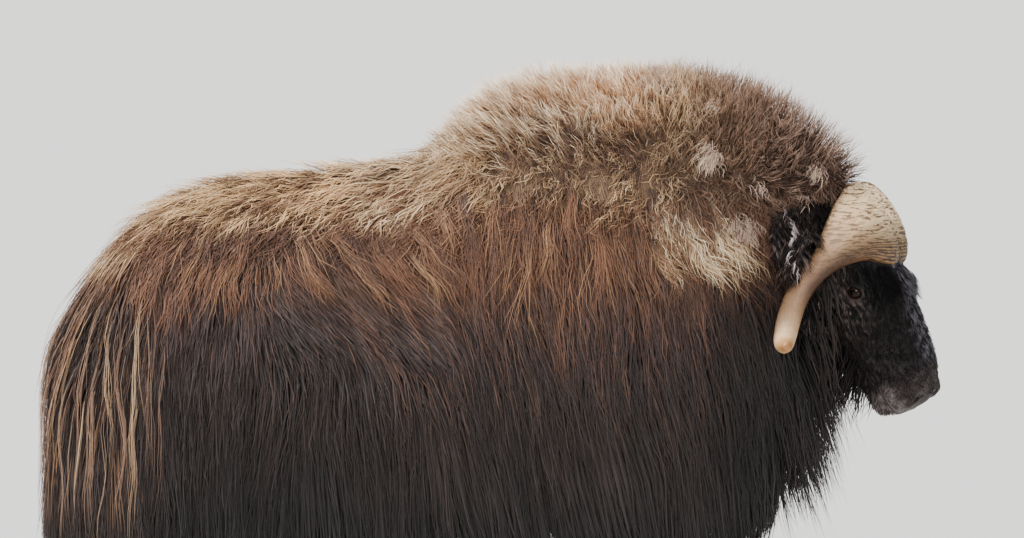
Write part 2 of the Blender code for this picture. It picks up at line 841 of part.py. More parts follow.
def hoof_mesh(middle_x, middle_y, half_length, half_width, side):
    """One toe of a cloven hoof, flat underneath, on the outer (1) or inner (-1) side."""
    centre_y = middle_y + side * (half_width + TOE_GAP / 2)
    rings = []
    for t, length, width, reach in HOOF_SHAPE:
        ring = []
        for i in range(HOOF_POINTS):
            angle = 2 * math.pi * i / HOOF_POINTS
            along_x = math.cos(angle)
            across_y = math.sin(angle)
            if across_y * side < 0:
                across_y *= 0.9
            ring.append(
                Vector(
                    (
                        middle_x + reach + half_length * length * along_x,
                        centre_y + half_width * width * across_y,
                        HOOF_HEIGHT * t,
                    )
                )
            )
        rings.append(ring)
    return loft(rings)


def tail_mesh():
    """The short tail, hanging against the rump."""
    root = Vector(TAIL_ROOT)
    tip = Vector(TAIL_TIP)
    rings = []
    for t, size in TAIL_SHAPE:
        middle = root.lerp(tip, t)
        ring = []
        for i in range(TAIL_POINTS):
            angle = 2 * math.pi * i / TAIL_POINTS
            ring.append(
                middle
                + Vector((0.6 * math.cos(angle), math.sin(angle), 0.0)) * TAIL_RADIUS * size
            )
        rings.append(ring)
    return loft(rings)


def build_head():
    """The skull's form with lids, nostrils and the line of the mouth, and the room it takes up."""
    head = piece("head", loft([head_ring(row) for row in HEAD_RINGS]), "face_fur", animal, head_pose)
    additions = []
    for side in (1, -1):
        place = side_place(EYE_PLACE, side)
        additions.append(ellipsoid("lids", place, LID_RADII, head_pose, 8, 12))
        brow = side_place(BROW_PLACE, side)
        additions.append(ellipsoid("brow", brow, BROW_RADII, head_pose, 6, 10))
        nose = side_place(NOSE_WING_PLACE, side)
        additions.append(ellipsoid("nose_wing", nose, NOSE_WING_RADII, head_pose, 6, 10))
    additions.append(ellipsoid("upper_lip", UPPER_LIP_PLACE, UPPER_LIP_RADII, head_pose, 6, 12))
    additions.append(ellipsoid("lower_lip", LOWER_LIP_PLACE, LOWER_LIP_RADII, head_pose, 6, 12))
    room = [grown(form) for form in (head, *additions)]
    join(head, *additions)
    cutting = []
    for side in (1, -1):
        place = side_place(EYE_PLACE, side)
        opening = place + Vector((0.0, side * LID_RADII[1], 0.0))
        cutting.append(ellipsoid("slit", opening, SLIT_RADII, head_pose, 8, 12))
        nostril = side_place(NOSTRIL_PLACE, side)
        cutting.append(ellipsoid("nostril", nostril, NOSTRIL_RADII, head_pose, 6, 10))
    cut(head, *cutting)
    mouth = helper("mouth", loft(mouth_rings(MOUTH_HALF_WIDTH)), head_pose)
    inside = [head_ring(row, MOUTH_DEPTH) for row in HEAD_RINGS[:-1]]
    cut(mouth, helper("inside", loft(inside), head_pose))
    cut(head, mouth)
    return head, room


def mouth_rings(half_width):
    """A thin slab that dips towards the corners of the mouth."""
    rings = []
    for distance, height, thick in MOUTH_LINE:
        rings.append(
            [
                Vector((distance, half_width, height + thick)),
                Vector((distance, half_width, height - thick)),
                Vector((distance, -half_width, height - thick)),
                Vector((distance, -half_width, height + thick)),
            ]
        )
    return rings


def clear_scene():
    for item in list(bpy.data.objects):
        bpy.data.objects.remove(item)


def new_collection(name):
    made = bpy.data.collections.new(name)
    bpy.context.scene.collection.children.link(made)
    return made


clear_scene()
animal = new_collection("muskox")
cutters = new_collection("cutters")

head_pose = bpy.data.objects.new("head_pose", None)
animal.objects.link(head_pose)
head_pose.location = HEAD_PLACE
head_pose.rotation_euler = (0.0, HEAD_PITCH, HEAD_YAW)
bpy.context.view_layer.update()

# Head, with its eyes, horns and ears
head, head_room = build_head()
beard = beard_locks(random.Random(SEED))
beard_room = [grown(lock) for lock in beard]
fuse(head, beard)
largest(head)
for side, word in ((1, "left"), (-1, "right")):
    shape = bmesh.new()
    bmesh.ops.create_uvsphere(shape, u_segments=EYE_SEGMENTS, v_segments=8, radius=EYE_RADIUS)
    bmesh.ops.translate(shape, vec=side_place(EYE_PLACE, side), verts=shape.verts)
    ball = bpy.data.meshes.new("eye_" + word)
    shape.to_mesh(ball)
    shape.free()
    eye = piece("eye_" + word, ball, "eye", animal, head_pose)
    cut(head, grown(eye))
horn_left = piece("horn_left", horn_mesh(), "horn", animal, head_pose)
horn_right = mirrored(horn_left, "horn_right", "horn", animal, head_pose)
ear_left = piece("ear_left", ear_mesh(EAR_LEAF), "face_fur", animal, head_pose)
ear_right = mirrored(ear_left, "ear_right", "face_fur", animal, head_pose)
cup_left = helper("cup_left", ear_mesh(EAR_CUP, EAR_HALF_THICKNESS, 0.72, 1.1), head_pose)
cup_right = mirrored(cup_left, "cup_right", "face_fur", cutters, head_pose)
horn_room = [grown(horn_left), grown(horn_right)]
ear_room = [grown(ear_left), grown(ear_right)]
for horn in (horn_left, horn_right):
    cut(horn, *head_room)
    largest(horn)
for ear, cup in ((ear_left, cup_left), (ear_right, cup_right)):
    cut(ear, cup, *head_room, *horn_room)
    largest(ear)

# Tail and legs, which meet the core of the body
core_form = loft([core_ring(row) for row in COAT_RINGS])
core_room = grown(helper("core", core_form))
tail = piece("tail", tail_mesh(), "long_coat", animal)
limbs = [tail]
for word, stations, side_y, hoof in (
    ("front", FRONT_LEG, FRONT_LEG_SIDE, FRONT_HOOF),
    ("rear", REAR_LEG, REAR_LEG_SIDE, REAR_HOOF),
):
    left = piece("leg_" + word + "_left", leg_mesh(stations, side_y), "leg_fur", animal)
    right = mirrored(left, "leg_" + word + "_right", "leg_fur", animal, None)
    limbs += [left, right]
    for toe, side in (("outer", 1), ("inner", -1)):
        name = "hoof_" + word + "_left_" + toe
        mesh = hoof_mesh(stations[-1][1], side_y, hoof[0], hoof[1], side)
        first = piece(name, mesh, "hoof", animal)
        mirrored(first, "hoof_" + word + "_right_" + toe, "hoof", animal, None)
kept_clear = [tree(grown(limb, LOCK_CLEARANCE).data) for limb in limbs]
for limb in limbs:
    cut(limb, core_room)
    largest(limb)

# Body and neck, from rump to brow, with the coat that grows on them
core_tree = tree(core_form)
outer_tree = tree(loft([coat_ring(row) for row in COAT_RINGS]))
draw = random.Random(SEED)
kept_clear += [tree(room.data, room.matrix_world) for room in head_room + beard_room]
growths = tier_locks(draw, kept_clear) + saddle_locks(draw) + wool_clumps(draw)
body_piece("torso_rump", 0, RUMP_END, "long_coat", growths)
body_piece("torso_barrel", RUMP_END, BARREL_END, "long_coat", growths)
body_piece("torso_shoulders", BARREL_END, SHOULDER_END, "shoulder_wool", growths)
neck = body_piece("neck", SHOULDER_END, len(COAT_RINGS) - 1, "shoulder_wool", growths)
cut(neck, *head_room, *beard_room, *horn_room, *ear_room)
largest(neck)

# The helpers have done their work, and the whole is centred over its origin
for item in list(cutters.objects):
    bpy.data.objects.remove(item)
bpy.context.view_layer.update()
corners = [
    item.matrix_world @ vertex.co
    for item in animal.objects
    if item.type == "MESH"
    for vertex in item.data.vertices
]
middle = Vector(
    (
        (min(c.x for c in corners) + max(c.x for c in corners)) / 2,
        (min(c.y for c in corners) + max(c.y for c in corners)) / 2,
        0.0,
    )
)
for item in animal.objects:
    if item.parent is None:
        item.location -= middle
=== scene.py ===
"""The looks of a life-size muskox bull: hide, long coat, wool, horns, eyes and hooves."""

import math

import bmesh
import bpy
import numpy as np
from mathutils import Euler, Matrix, Vector
from mathutils.bvhtree import BVHTree
from mathutils.kdtree import KDTree


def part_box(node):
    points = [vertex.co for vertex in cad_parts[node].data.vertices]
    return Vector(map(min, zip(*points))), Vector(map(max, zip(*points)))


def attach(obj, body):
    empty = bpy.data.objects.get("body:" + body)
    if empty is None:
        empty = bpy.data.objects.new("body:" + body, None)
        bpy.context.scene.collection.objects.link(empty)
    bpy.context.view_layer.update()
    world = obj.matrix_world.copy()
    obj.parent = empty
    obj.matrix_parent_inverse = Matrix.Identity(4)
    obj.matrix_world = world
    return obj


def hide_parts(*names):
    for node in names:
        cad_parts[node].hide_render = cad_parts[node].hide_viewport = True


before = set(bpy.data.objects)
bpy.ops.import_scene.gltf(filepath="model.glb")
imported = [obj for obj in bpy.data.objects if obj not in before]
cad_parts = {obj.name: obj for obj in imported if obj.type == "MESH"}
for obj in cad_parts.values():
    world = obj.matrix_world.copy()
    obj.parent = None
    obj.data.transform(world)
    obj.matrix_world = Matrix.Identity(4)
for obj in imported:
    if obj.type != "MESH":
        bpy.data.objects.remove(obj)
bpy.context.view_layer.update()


# The body under the coat
# Hide over flesh, from the rump to the brow, where the long coat and the wool root. It is
# lofted through rings that lean forward in the neck, and stands over the front hooves.

# Where the middle of the front hooves lies in the lengthways measure of the rings below
FRONT_HOOF_X = 0.484
near_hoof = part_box("hoof_front_right_outer")
far_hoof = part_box("hoof_front_left_outer")
shift = Vector(((far_hoof[0].x + far_hoof[1].x) / 2 - FRONT_HOOF_X, (near_hoof[0].y + far_hoof[1].y) / 2, 0))

# The coat's outer form, ring by ring: x at the top, x at the hem, top, height of the widest
# place, half width, hem
COAT_ROWS = (
    (-1.075, -1.075, 0.720, 0.500, 0.120, 0.330),
    (-1.060, -1.060, 0.790, 0.520, 0.190, 0.300),
    (-1.020, -1.020, 0.875, 0.540, 0.255, 0.285),
    (-0.960, -0.960, 0.965, 0.550, 0.300, 0.280),
    (-0.880, -0.880, 1.052, 0.560, 0.335, 0.275),
    (-0.780, -0.780, 1.128, 0.570, 0.355, 0.275),
    (-0.620, -0.620, 1.172, 0.580, 0.370, 0.270),
    (-0.420, -0.420, 1.196, 0.580, 0.378, 0.270),
    (-0.240, -0.240, 1.214, 0.580, 0.380, 0.270),
    (-0.140, -0.140, 1.242, 0.590, 0.380, 0.270),
    (-0.060, -0.060, 1.312, 0.600, 0.380, 0.270),
    (0.040, 0.040, 1.386, 0.620, 0.380, 0.270),
    (0.180, 0.180, 1.424, 0.640, 0.380, 0.270),
    (0.380, 0.380, 1.440, 0.640, 0.372, 0.280),
    (0.540, 0.525, 1.422, 0.640, 0.338, 0.290),
    (0.660, 0.610, 1.388, 0.680, 0.275, 0.310),
    (0.760, 0.665, 1.348, 0.760, 0.212, 0.340),
    (0.835, 0.700, 1.296, 0.860, 0.178, 0.400),
    (0.888, 0.735, 1.242, 0.960, 0.152, 0.560),
    (0.920, 0.765, 1.182, 1.060, 0.120, 0.820),
)
HEAD_PLACE = Vector((0.871, -0.050, 1.109))
NECK_BEND_FROM = 0.40
NECK_BEND = 0.05
HIDE_TOP_DEPTH = 0.038
HIDE_SIDE_DEPTH = 0.045
HIDE_LENGTH_SHARE = 0.962
BELLY_RISE = 0.225
HIDE_WIDEST_SHARE = 0.36
TOP_ROUNDNESS = 1.9
LOW_ROUNDNESS = 2.5
CURTAIN_ROUNDNESS = 9.0
HIDE_VOXEL = 0.0130


def along(rows, steps):
    """The rows with steps rows in each interval, on a smooth curve through them."""
    rows = np.array(rows, float)
    padded = np.concatenate([rows[:1], rows, rows[-1:]])
    found = []
    for p, q, r, s in zip(padded, padded[1:], padded[2:], padded[3:]):
        for t in np.arange(steps) / steps:
            bend = (2 * p - 5 * q + 4 * r - s) * t * t + (3 * q - p - 3 * r + s) * t**3
            found.append(0.5 * (2 * q + (r - p) * t + bend))
    return np.array([*found, rows[-1]]).tolist()


def neck_bend(x):
    """How far the body's middle lies to the left at this x."""
    t = np.clip((x - NECK_BEND_FROM) / (HEAD_PLACE.x - NECK_BEND_FROM), 0.0, 1.0)
    return float(-NECK_BEND * t * t * (3 - 2 * t))


def rounded(angle, half_width, up, down, top_roundness, low_roundness):
    """A point of a rounded section, sideways and up from its widest place. Angle 0 is the top."""
    side, rise = math.sin(angle), math.cos(angle)
    roundness = top_roundness if rise >= 0 else low_roundness
    reach = up if rise >= 0 else down
    return (
        half_width * math.copysign(abs(side) ** (2 / roundness), side),
        reach * math.copysign(abs(rise) ** (2 / roundness), rise),
    )


def coat_ring(row, count):
    """One ring of the coat's outer form, whose sides hang straight down to the hem."""
    x_top, x_hem, top, widest, half_width, hem = row
    points = []
    for i in range(count):
        turn = 2 * math.pi * i / count
        side, rise = rounded(turn, half_width, top - widest, widest - hem + 0.06, TOP_ROUNDNESS, CURTAIN_ROUNDNESS)
        height = widest + rise
        x = x_hem + (x_top - x_hem) * (height - hem) / (top - hem)
        points.append(Vector((x, neck_bend(x_top) + side, height)) + shift)
    return points


def hide_ring(row, count):
    """One ring of the hide under the coat."""
    x_top, x_hem, top, _, half_width, hem = row
    hide_top = top - HIDE_TOP_DEPTH
    low = hem + BELLY_RISE * min(1.0, (hide_top - hem) / 0.6)
    widest = low + HIDE_WIDEST_SHARE * (hide_top - low)
    points = []
    for i in range(count):
        turn = 2 * math.pi * i / count
        wide = half_width - HIDE_SIDE_DEPTH
        side, rise = rounded(turn, wide, hide_top - widest, widest - low, TOP_ROUNDNESS, LOW_ROUNDNESS)
        height = widest + rise
        x = x_hem + (x_top - x_hem) * (height - hem) / (top - hem)
        points.append(Vector((x * HIDE_LENGTH_SHARE, neck_bend(x_top) + side, height)) + shift)
    return points


def tube(rings, into=None):
    """A closed tube through the rings of points, in a new bmesh or into a given one."""
    shape = into or bmesh.new()
    before = None
    for number, ring in enumerate(rings):
        ends = number in (0, len(rings) - 1)
        made = bmesh.ops.create_circle(shape, cap_ends=ends, segments=len(ring), radius=1.0)["verts"]
        for vertex, point in zip(made, ring):
            vertex.co = point
        if before:
            both = set(before) | set(made)
            edges = {e for v in both for e in v.link_edges if e.other_vert(v) in both}
            loops = [e for e in edges if len({v in before for v in e.verts}) == 1 and len(e.link_faces) < 2]
            bmesh.ops.bridge_loops(shape, edges=loops)
        before = set(made)
    bmesh.ops.recalc_face_normals(shape, faces=shape.faces)
    return shape


def piece(name, shape, smooth=True):
    """A new object that holds the bmesh, which is used up."""
    mesh = bpy.data.meshes.new(name)
    shape.to_mesh(mesh)
    shape.free()
    if smooth:
        mesh.shade_smooth()
    made = bpy.data.objects.new(name, mesh)
    bpy.context.scene.collection.objects.link(made)
    return made


def tagged(target, finish):
    """Gives the whole object one finish, which tells hide, head and ear apart once they are one."""
    target.data.materials.clear()
    target.data.materials.append(finish)
    target.data.polygons.foreach_set("material_index", [0] * len(target.data.polygons))


def applied(target, kind, **settings):
    """Puts one modifier on the object and turns the result into its mesh."""
    step = target.modifiers.new(kind.lower(), kind)
    for name, value in settings.items():
        setattr(step, name, value)
    graph = bpy.context.evaluated_depsgraph_get()
    mesh = bpy.data.meshes.new_from_object(target.evaluated_get(graph))
    target.modifiers.clear()
    target.data = mesh
    return target


def combine(target, operation, *others):
    """Joins the others to the target, or cuts them out of it, and removes them."""
    for other in others:
        finishes = "TRANSFER" if other.data.materials else "INDEX"
        applied(target, "BOOLEAN", operation=operation, object=other, solver="MANIFOLD", material_mode=finishes)
        bpy.data.objects.remove(other)
    return target


def search_tree(shape):
    """A search tree of a bmesh, which is used up."""
    found = BVHTree.FromBMesh(shape)
    shape.free()
    return found


coat_form = search_tree(tube([coat_ring(row, 48) for row in along(COAT_ROWS, 3)]))
hide = piece("hide", tube([hide_ring(row, 48) for row in along(COAT_ROWS, 3)]))

# Legs
# Short sturdy legs in short pale fur, mostly hidden by the coat. Each is a tube from inside
# the body down to its pastern: height, x, half depth, half width.
FRONT_LEG = (
    (0.640, 0.455, 0.090, 0.068),
    (0.480, 0.455, 0.080, 0.066),
    (0.360, 0.462, 0.062, 0.054),
    (0.290, 0.466, 0.058, 0.053),
    (0.235, 0.462, 0.048, 0.045),
    (0.160, 0.460, 0.043, 0.041),
    (0.100, 0.463, 0.049, 0.048),
    (0.061, 0.472, 0.046, 0.048),
)
REAR_LEG = (
    (0.660, -0.715, 0.123, 0.076),
    (0.520, -0.740, 0.100, 0.071),
    (0.425, -0.775, 0.071, 0.055),
    (0.355, -0.798, 0.058, 0.048),
    (0.285, -0.790, 0.046, 0.042),
    (0.190, -0.775, 0.041, 0.040),
    (0.105, -0.766, 0.047, 0.046),
    (0.061, -0.756, 0.044, 0.046),
)
FRONT_LEG_SIDE = 0.165
REAR_LEG_SIDE = 0.175


def leg(rows, side):
    """One leg, round in section, on the left (1) or right (-1) side."""
    rings = []
    for height, x, half_depth, half_width in along(rows, 3):
        middle = Vector((x, side, height)) + shift
        turns = [2 * math.pi * i / 24 for i in range(24)]
        rings.append([middle + Vector((half_depth * math.cos(t), half_width * math.sin(t), 0)) for t in turns])
    return rings


for rows, side in ((FRONT_LEG, FRONT_LEG_SIDE), (REAR_LEG, REAR_LEG_SIDE)):
    for sign in (1, -1):
        combine(hide, "UNION", piece("leg", tube(leg(rows, sign * side))))

# Tail
# A short tail that hangs close against the rump under the coat, joined to the hide.
TAIL_LINE = ((-0.960, 0.865, 0.024), (-1.000, 0.805, 0.032), (-1.042, 0.741, 0.026), (-1.066, 0.703, 0.010))
tail_rings = []
for x, height, radius in along(TAIL_LINE, 3):
    turns = [2 * math.pi * i / 16 for i in range(16)]
    middle = Vector((x, 0, height)) + shift
    tail_rings.append([middle + radius * Vector((0.6 * math.cos(t), math.sin(t), 0)) for t in turns])
combine(hide, "UNION", piece("tail", tube(tail_rings)))
applied(hide, "REMESH", mode="VOXEL", voxel_size=HIDE_VOXEL, use_smooth_shade=True)
applied(hide, "SMOOTH", factor=0.5, iterations=6)
hide_finish = bpy.data.materials.new("hide")
tagged(hide, hide_finish)

# Head
# A long deep head, low and turned to the animal's right, in short dark fur, with a broad
# muzzle, hooded eyes and a hairy nose. It is lofted along its own axis, and its lids, brows,
# nose and lips are swellings melted into it before the mouth, nostrils and lids are cut.
HEAD_PITCH = math.radians(62)
HEAD_YAW = math.radians(-24)
head_pose = Matrix.Translation(HEAD_PLACE + shift) @ Euler((0, HEAD_PITCH, HEAD_YAW)).to_matrix().to_4x4()

# Distance from the back of the skull, top, chin side, half width, height of the widest place
HEAD_ROWS = (
    (-0.060, -0.030, -0.130, 0.060, -0.080),
    (-0.035, 0.015, -0.180, 0.098, -0.080),
    (0.010, 0.040, -0.212, 0.120, -0.080),
    (0.070, 0.048, -0.225, 0.127, -0.095),
    (0.140, 0.052, -0.215, 0.123, -0.090),
    (0.200, 0.046, -0.203, 0.112, -0.075),
    (0.260, 0.038, -0.192, 0.098, -0.068),
    (0.320, 0.033, -0.183, 0.085, -0.070),
    (0.380, 0.028, -0.176, 0.077, -0.078),
    (0.430, 0.020, -0.170, 0.073, -0.080),
    (0.470, 0.005, -0.161, 0.070, -0.080),
    (0.500, -0.016, -0.146, 0.058, -0.080),
    (0.516, -0.046, -0.124, 0.035, -0.083),
)
HEAD_ROUNDNESS = 2.25
HEAD_VOXEL = 0.0042
EYE_PLACE = Vector((0.217, 0.099, -0.049))
EYE_RADIUS = 0.0205
EYE_TILT = math.radians(-44)
# Swellings of one half of the head: place, radii
SWELLINGS = (
    ((0.222, 0.098, -0.050), (0.037, 0.0280, 0.032)),
    ((0.206, 0.098, -0.018), (0.050, 0.022, 0.014)),
    ((0.130, 0.100, -0.130), (0.085, 0.028, 0.060)),
    ((0.330, 0.053, -0.030), (0.090, 0.024, 0.028)),
    ((0.476, 0.040, -0.042), (0.036, 0.033, 0.034)),
    ((0.484, 0.026, -0.096), (0.034, 0.040, 0.026)),
    ((0.466, 0.020, -0.143), (0.036, 0.030, 0.024)),
)
# Hollows of one half of the head: place, radii, turn about the head's sideways axis
HOLLOWS = (
    ((0.499, 0.043, -0.050), (0.019, 0.0085, 0.0075), 0.5),
    ((0.508, 0.052, -0.040), (0.010, 0.0080, 0.0110), 0.0),
)


def ball(place, radii, turn=None, segments=32, rings=20):
    """A smooth ellipsoid in the head's own measure, as a new object in the head's place."""
    shape = bmesh.new()
    bmesh.ops.create_uvsphere(shape, u_segments=segments, v_segments=rings, radius=1.0)
    matrix = head_pose @ Matrix.Translation(place) @ (turn or Matrix.Identity(4)) @ Matrix.Diagonal((*radii, 1.0))
    bmesh.ops.transform(shape, matrix=matrix, verts=shape.verts)
    return piece("ball", shape)


def head_rings(inset, count):
    """The rings of the head, drawn in by the inset."""
    rings = []
    for distance, top, low, half_width, widest in along(HEAD_ROWS, 4):
        ring = []
        for i in range(count):
            up, down = top - widest - inset, widest - low - inset
            side, rise = rounded(
                2 * math.pi * i / count, half_width - inset, up, down, HEAD_ROUNDNESS, HEAD_ROUNDNESS
            )
            ring.append(head_pose @ Vector((distance, side, widest + rise)))
        rings.append(ring)
    return rings


head = piece("head_skin", tube(head_rings(0.0, 40)))
for sign in (1, -1):
    for place, radii in SWELLINGS:
        combine(head, "UNION", ball((place[0], place[1] * sign, place[2]), radii))
applied(head, "REMESH", mode="VOXEL", voxel_size=HEAD_VOXEL, use_smooth_shade=True)
applied(head, "SMOOTH", factor=0.5, iterations=7)
for sign in (1, -1):
    eye_place = Vector((EYE_PLACE.x, EYE_PLACE.y * sign, EYE_PLACE.z))
    opening = eye_place + Vector((0, 0.027 * sign, 0))
    tilt = Matrix.Rotation(EYE_TILT, 4, "Y")
    combine(head, "DIFFERENCE", ball(opening, (0.0245, 0.0240, 0.0155), tilt))
    combine(head, "DIFFERENCE", ball(eye_place, (EYE_RADIUS + 0.0008,) * 3))
    for place, radii, turn in HOLLOWS:
        where = (place[0], place[1] * sign, place[2])
        combine(head, "DIFFERENCE", ball(where, radii, Matrix.Rotation(turn, 4, "Y")))

# The line of the mouth is a thin wedge cut 9 mm deep: distance, height, half thickness
MOUTH_LINE = ((0.345, -0.129, 0.0006), (0.420, -0.123, 0.0022), (0.470, -0.119, 0.0022), (0.560, -0.116, 0.0022))
mouth_rings = []
for distance, height, thick in along(MOUTH_LINE, 3):
    corners = ((0.12, thick), (0.12, -thick), (-0.12, -thick), (-0.12, thick))
    mouth_rings.append([head_pose @ Vector((distance, across, height + up)) for across, up in corners])
mouth = combine(piece("mouth", tube(mouth_rings)), "DIFFERENCE", piece("inside", tube(head_rings(0.009, 40)[:-4])))
combine(head, "DIFFERENCE", mouth)
face_finish = bpy.data.materials.new("face")
tagged(head, face_finish)

# Ears
# Leaf-shaped ears that hang outwards behind the horns, black outside, with a deep cup that
# faces out and forward. Each is a bent leaf with a smaller leaf cut out of its face.
EAR_LINE = (Vector((0.010, 0.095, -0.030)), Vector((-0.009, 0.255, -0.102)), Vector((0.133, 0.235, -0.122)))
EAR_FACE = Vector((0.05, 0.95, 0.25))
EAR_HALF_WIDTH = 0.050
EAR_HALF_THICKNESS = 0.018
# Along the ear: share of the way, of the width, of the thickness
EAR_LEAF = ((-0.05, 0.50, 0.9), (0.15, 0.78, 1.0), (0.40, 1.0, 0.9), (0.65, 0.90, 0.8), (0.87, 0.56, 0.6), (1.0, 0.18, 0.4))
EAR_CUP = ((0.16, 0.40, 0.5), (0.30, 0.85, 0.9), (0.50, 1.0, 1.0), (0.72, 0.80, 0.8), (0.92, 0.30, 0.5))


def ear_place(t, sign):
    """The middle of the ear at t, and its directions along, out of its cup and across."""
    root, middle, tip = EAR_LINE
    place = root * (1 - t) ** 2 + middle * 2 * t * (1 - t) + tip * t * t
    way = ((middle - root) * (1 - t) + (tip - middle) * t).normalized()
    face = (EAR_FACE - way * EAR_FACE.dot(way)).normalized()
    across = way.cross(face)
    turned = [Vector((v.x, v.y * sign, v.z)) for v in (place, way, face, across)]
    turned[3] *= sign
    return turned


def ear_tube(shares, sign, lift, wide_by, thick_by):
    """A leaf along the ear's line."""
    rings = []
    for t, wide, thick in along(shares, 3):
        place, _, face, across = ear_place(t, sign)
        ring = []
        for i in range(24):
            turn = 2 * math.pi * i / 24
            out = lift + EAR_HALF_THICKNESS * thick_by * thick * math.sin(turn)
            aside = EAR_HALF_WIDTH * wide_by * wide * math.cos(turn)
            ring.append(head_pose @ (place + face * out + across * aside))
        rings.append(ring)
    return tube(rings)


ear_finish = bpy.data.materials.new("ear")
for sign in (1, -1):
    ear = piece("ear", ear_tube(EAR_LEAF, sign, 0.0, 1.0, 1.0))
    combine(ear, "DIFFERENCE", piece("cup", ear_tube(EAR_CUP, sign, EAR_HALF_THICKNESS, 0.76, 1.35)))
    applied(ear, "REMESH", mode="VOXEL", voxel_size=0.003, use_smooth_shade=True)
    applied(ear, "SMOOTH", factor=0.5, iterations=4)
    tagged(ear, ear_finish)
    combine(head, "UNION", ear)

combine(hide, "UNION", head)
skin = hide
skin.name = "skin"
skin.data.name = "skin"

# Horns
# Two horns of one growth each: a broad flat boss of rough fibrous horn on the brow, parted
# down the middle, that narrows into a smooth shaft, drops beside the cheek and hooks up.
# Place in the head's own measure, half length along the head, half thickness
HORN_ROWS = (
    (0.080, 0.0022, 0.034, 0.112, 0.043),
    (0.081, 0.025, 0.036, 0.112, 0.045),
    (0.082, 0.050, 0.035, 0.109, 0.044),
    (0.088, 0.100, 0.014, 0.083, 0.044),
    (0.104, 0.140, -0.022, 0.055, 0.039),
    (0.124, 0.166, -0.068, 0.034, 0.032),
    (0.144, 0.187, -0.112, 0.030, 0.029),
    (0.174, 0.210, -0.152, 0.029, 0.028),
    (0.210, 0.238, -0.179, 0.029, 0.028),
    (0.243, 0.270, -0.193, 0.028, 0.027),
    (0.265, 0.305, -0.194, 0.0245, 0.0245),
    (0.276, 0.338, -0.184, 0.0190, 0.0190),
    (0.281, 0.360, -0.174, 0.0135, 0.0135),
    (0.283, 0.372, -0.169, 0.0085, 0.0085),
    (0.2835, 0.3770, -0.167, 0.0025, 0.0025),
)
HORN_STEPS = 10
HORN_SIDES = 96
BOSS_END = 0.36


def ripple(place, size, seed):
    """A smooth wavering value from -1 to 1, as wide as the size, at each of the places."""
    draw = np.random.default_rng(seed)
    ways = draw.normal(size=(7, 3))
    ways *= (draw.uniform(0.6, 1.5, 7) / np.linalg.norm(ways, axis=1))[:, None]
    turns = draw.uniform(0, 2 * math.pi, 7)
    return np.sin(place @ ways.T * (2 * math.pi / size) + turns).mean(-1) * 1.6


def note(mesh, name, values):
    """Writes one value, vector or colour for each vertex."""
    kind = {1: "FLOAT", 3: "FLOAT_VECTOR", 4: "FLOAT_COLOR"}[values.shape[1] if values.ndim > 1 else 1]
    field = {"FLOAT": "value", "FLOAT_VECTOR": "vector", "FLOAT_COLOR": "color"}[kind]
    mesh.attributes.new(name, kind, "POINT").data.foreach_set(field, np.ascontiguousarray(values, np.float32).ravel())


def places_of(mesh):
    """The vertices' places, one row each."""
    found = np.empty(len(mesh.vertices) * 3, np.float32)
    mesh.vertices.foreach_get("co", found)
    return found.reshape(-1, 3)


def horn(sign):
    """One horn, its rings ribbed along the growth, with its grain written on it."""
    rows = along(HORN_ROWS, HORN_STEPS)
    middles = [Vector(row[:3]) for row in rows]
    rings = []
    grain = []
    for k, row in enumerate(rows):
        way = (middles[min(k + 1, len(rows) - 1)] - middles[max(k - 1, 0)]).normalized()
        if k < HORN_STEPS:
            way = way.lerp(Vector((0, 1, 0)), 1 - k / HORN_STEPS).normalized()
        length_way = (Vector((1, 0, 0)) - way * way.x).normalized()
        thick_way = way.cross(length_way)
        t = k / (len(rows) - 1)
        rough = max(0.0, 1 - t / BOSS_END)
        ring = []
        for i in range(HORN_SIDES):
            turn = 2 * math.pi * i / HORN_SIDES
            rib = float(ripple(np.array([[math.cos(turn) * 1.4, math.sin(turn) * 1.4, t * 2.2]]), 0.22, 5)[0])
            fine = float(ripple(np.array([[math.cos(turn) * 2, math.sin(turn) * 2, t * 4]]), 0.09, 6)[0])
            swell = 1 + (0.010 + 0.030 * rough) * rib + (0.004 + 0.016 * rough) * fine
            point = middles[k] + length_way * row[3] * math.cos(turn) + thick_way * row[4] * math.sin(turn) * swell
            ring.append(head_pose @ Vector((point.x, point.y * sign, point.z)))
            grain.append((t, math.cos(turn), math.sin(turn) + 3 * sign))
        rings.append(ring)
    made = piece("horn_shape_left" if sign > 0 else "horn_shape_right", tube(rings))
    note(made.data, "grain", np.array(grain))
    return made


horns = {side: horn(sign) for side, sign in (("left", 1), ("right", -1))}


def nodes_of(finish):
    """Turns on the finish's nodes and returns the tree, its surface shader and a maker of nodes."""
    finish.use_nodes = True
    tree = finish.node_tree
    surface = tree.nodes["Principled BSDF"]

    def add(kind, **values):
        made = tree.nodes.new("ShaderNode" + kind)
        for name, value in values.items():
            if hasattr(made, name):
                setattr(made, name, value)
            else:
                made.inputs[name.replace("_", " ")].default_value = value
        return made

    return tree, surface, add


def ramp(add, *stops):
    """A colour ramp with the given stops: place, colour."""
    made = add("ValToRGB")
    steps = made.color_ramp.elements
    steps[0].position, steps[0].color = stops[0][0], (*stops[0][1], 1)
    steps[1].position, steps[1].color = stops[-1][0], (*stops[-1][1], 1)
    for place, colour in stops[1:-1]:
        steps.new(place).color = (*colour, 1)
    return made
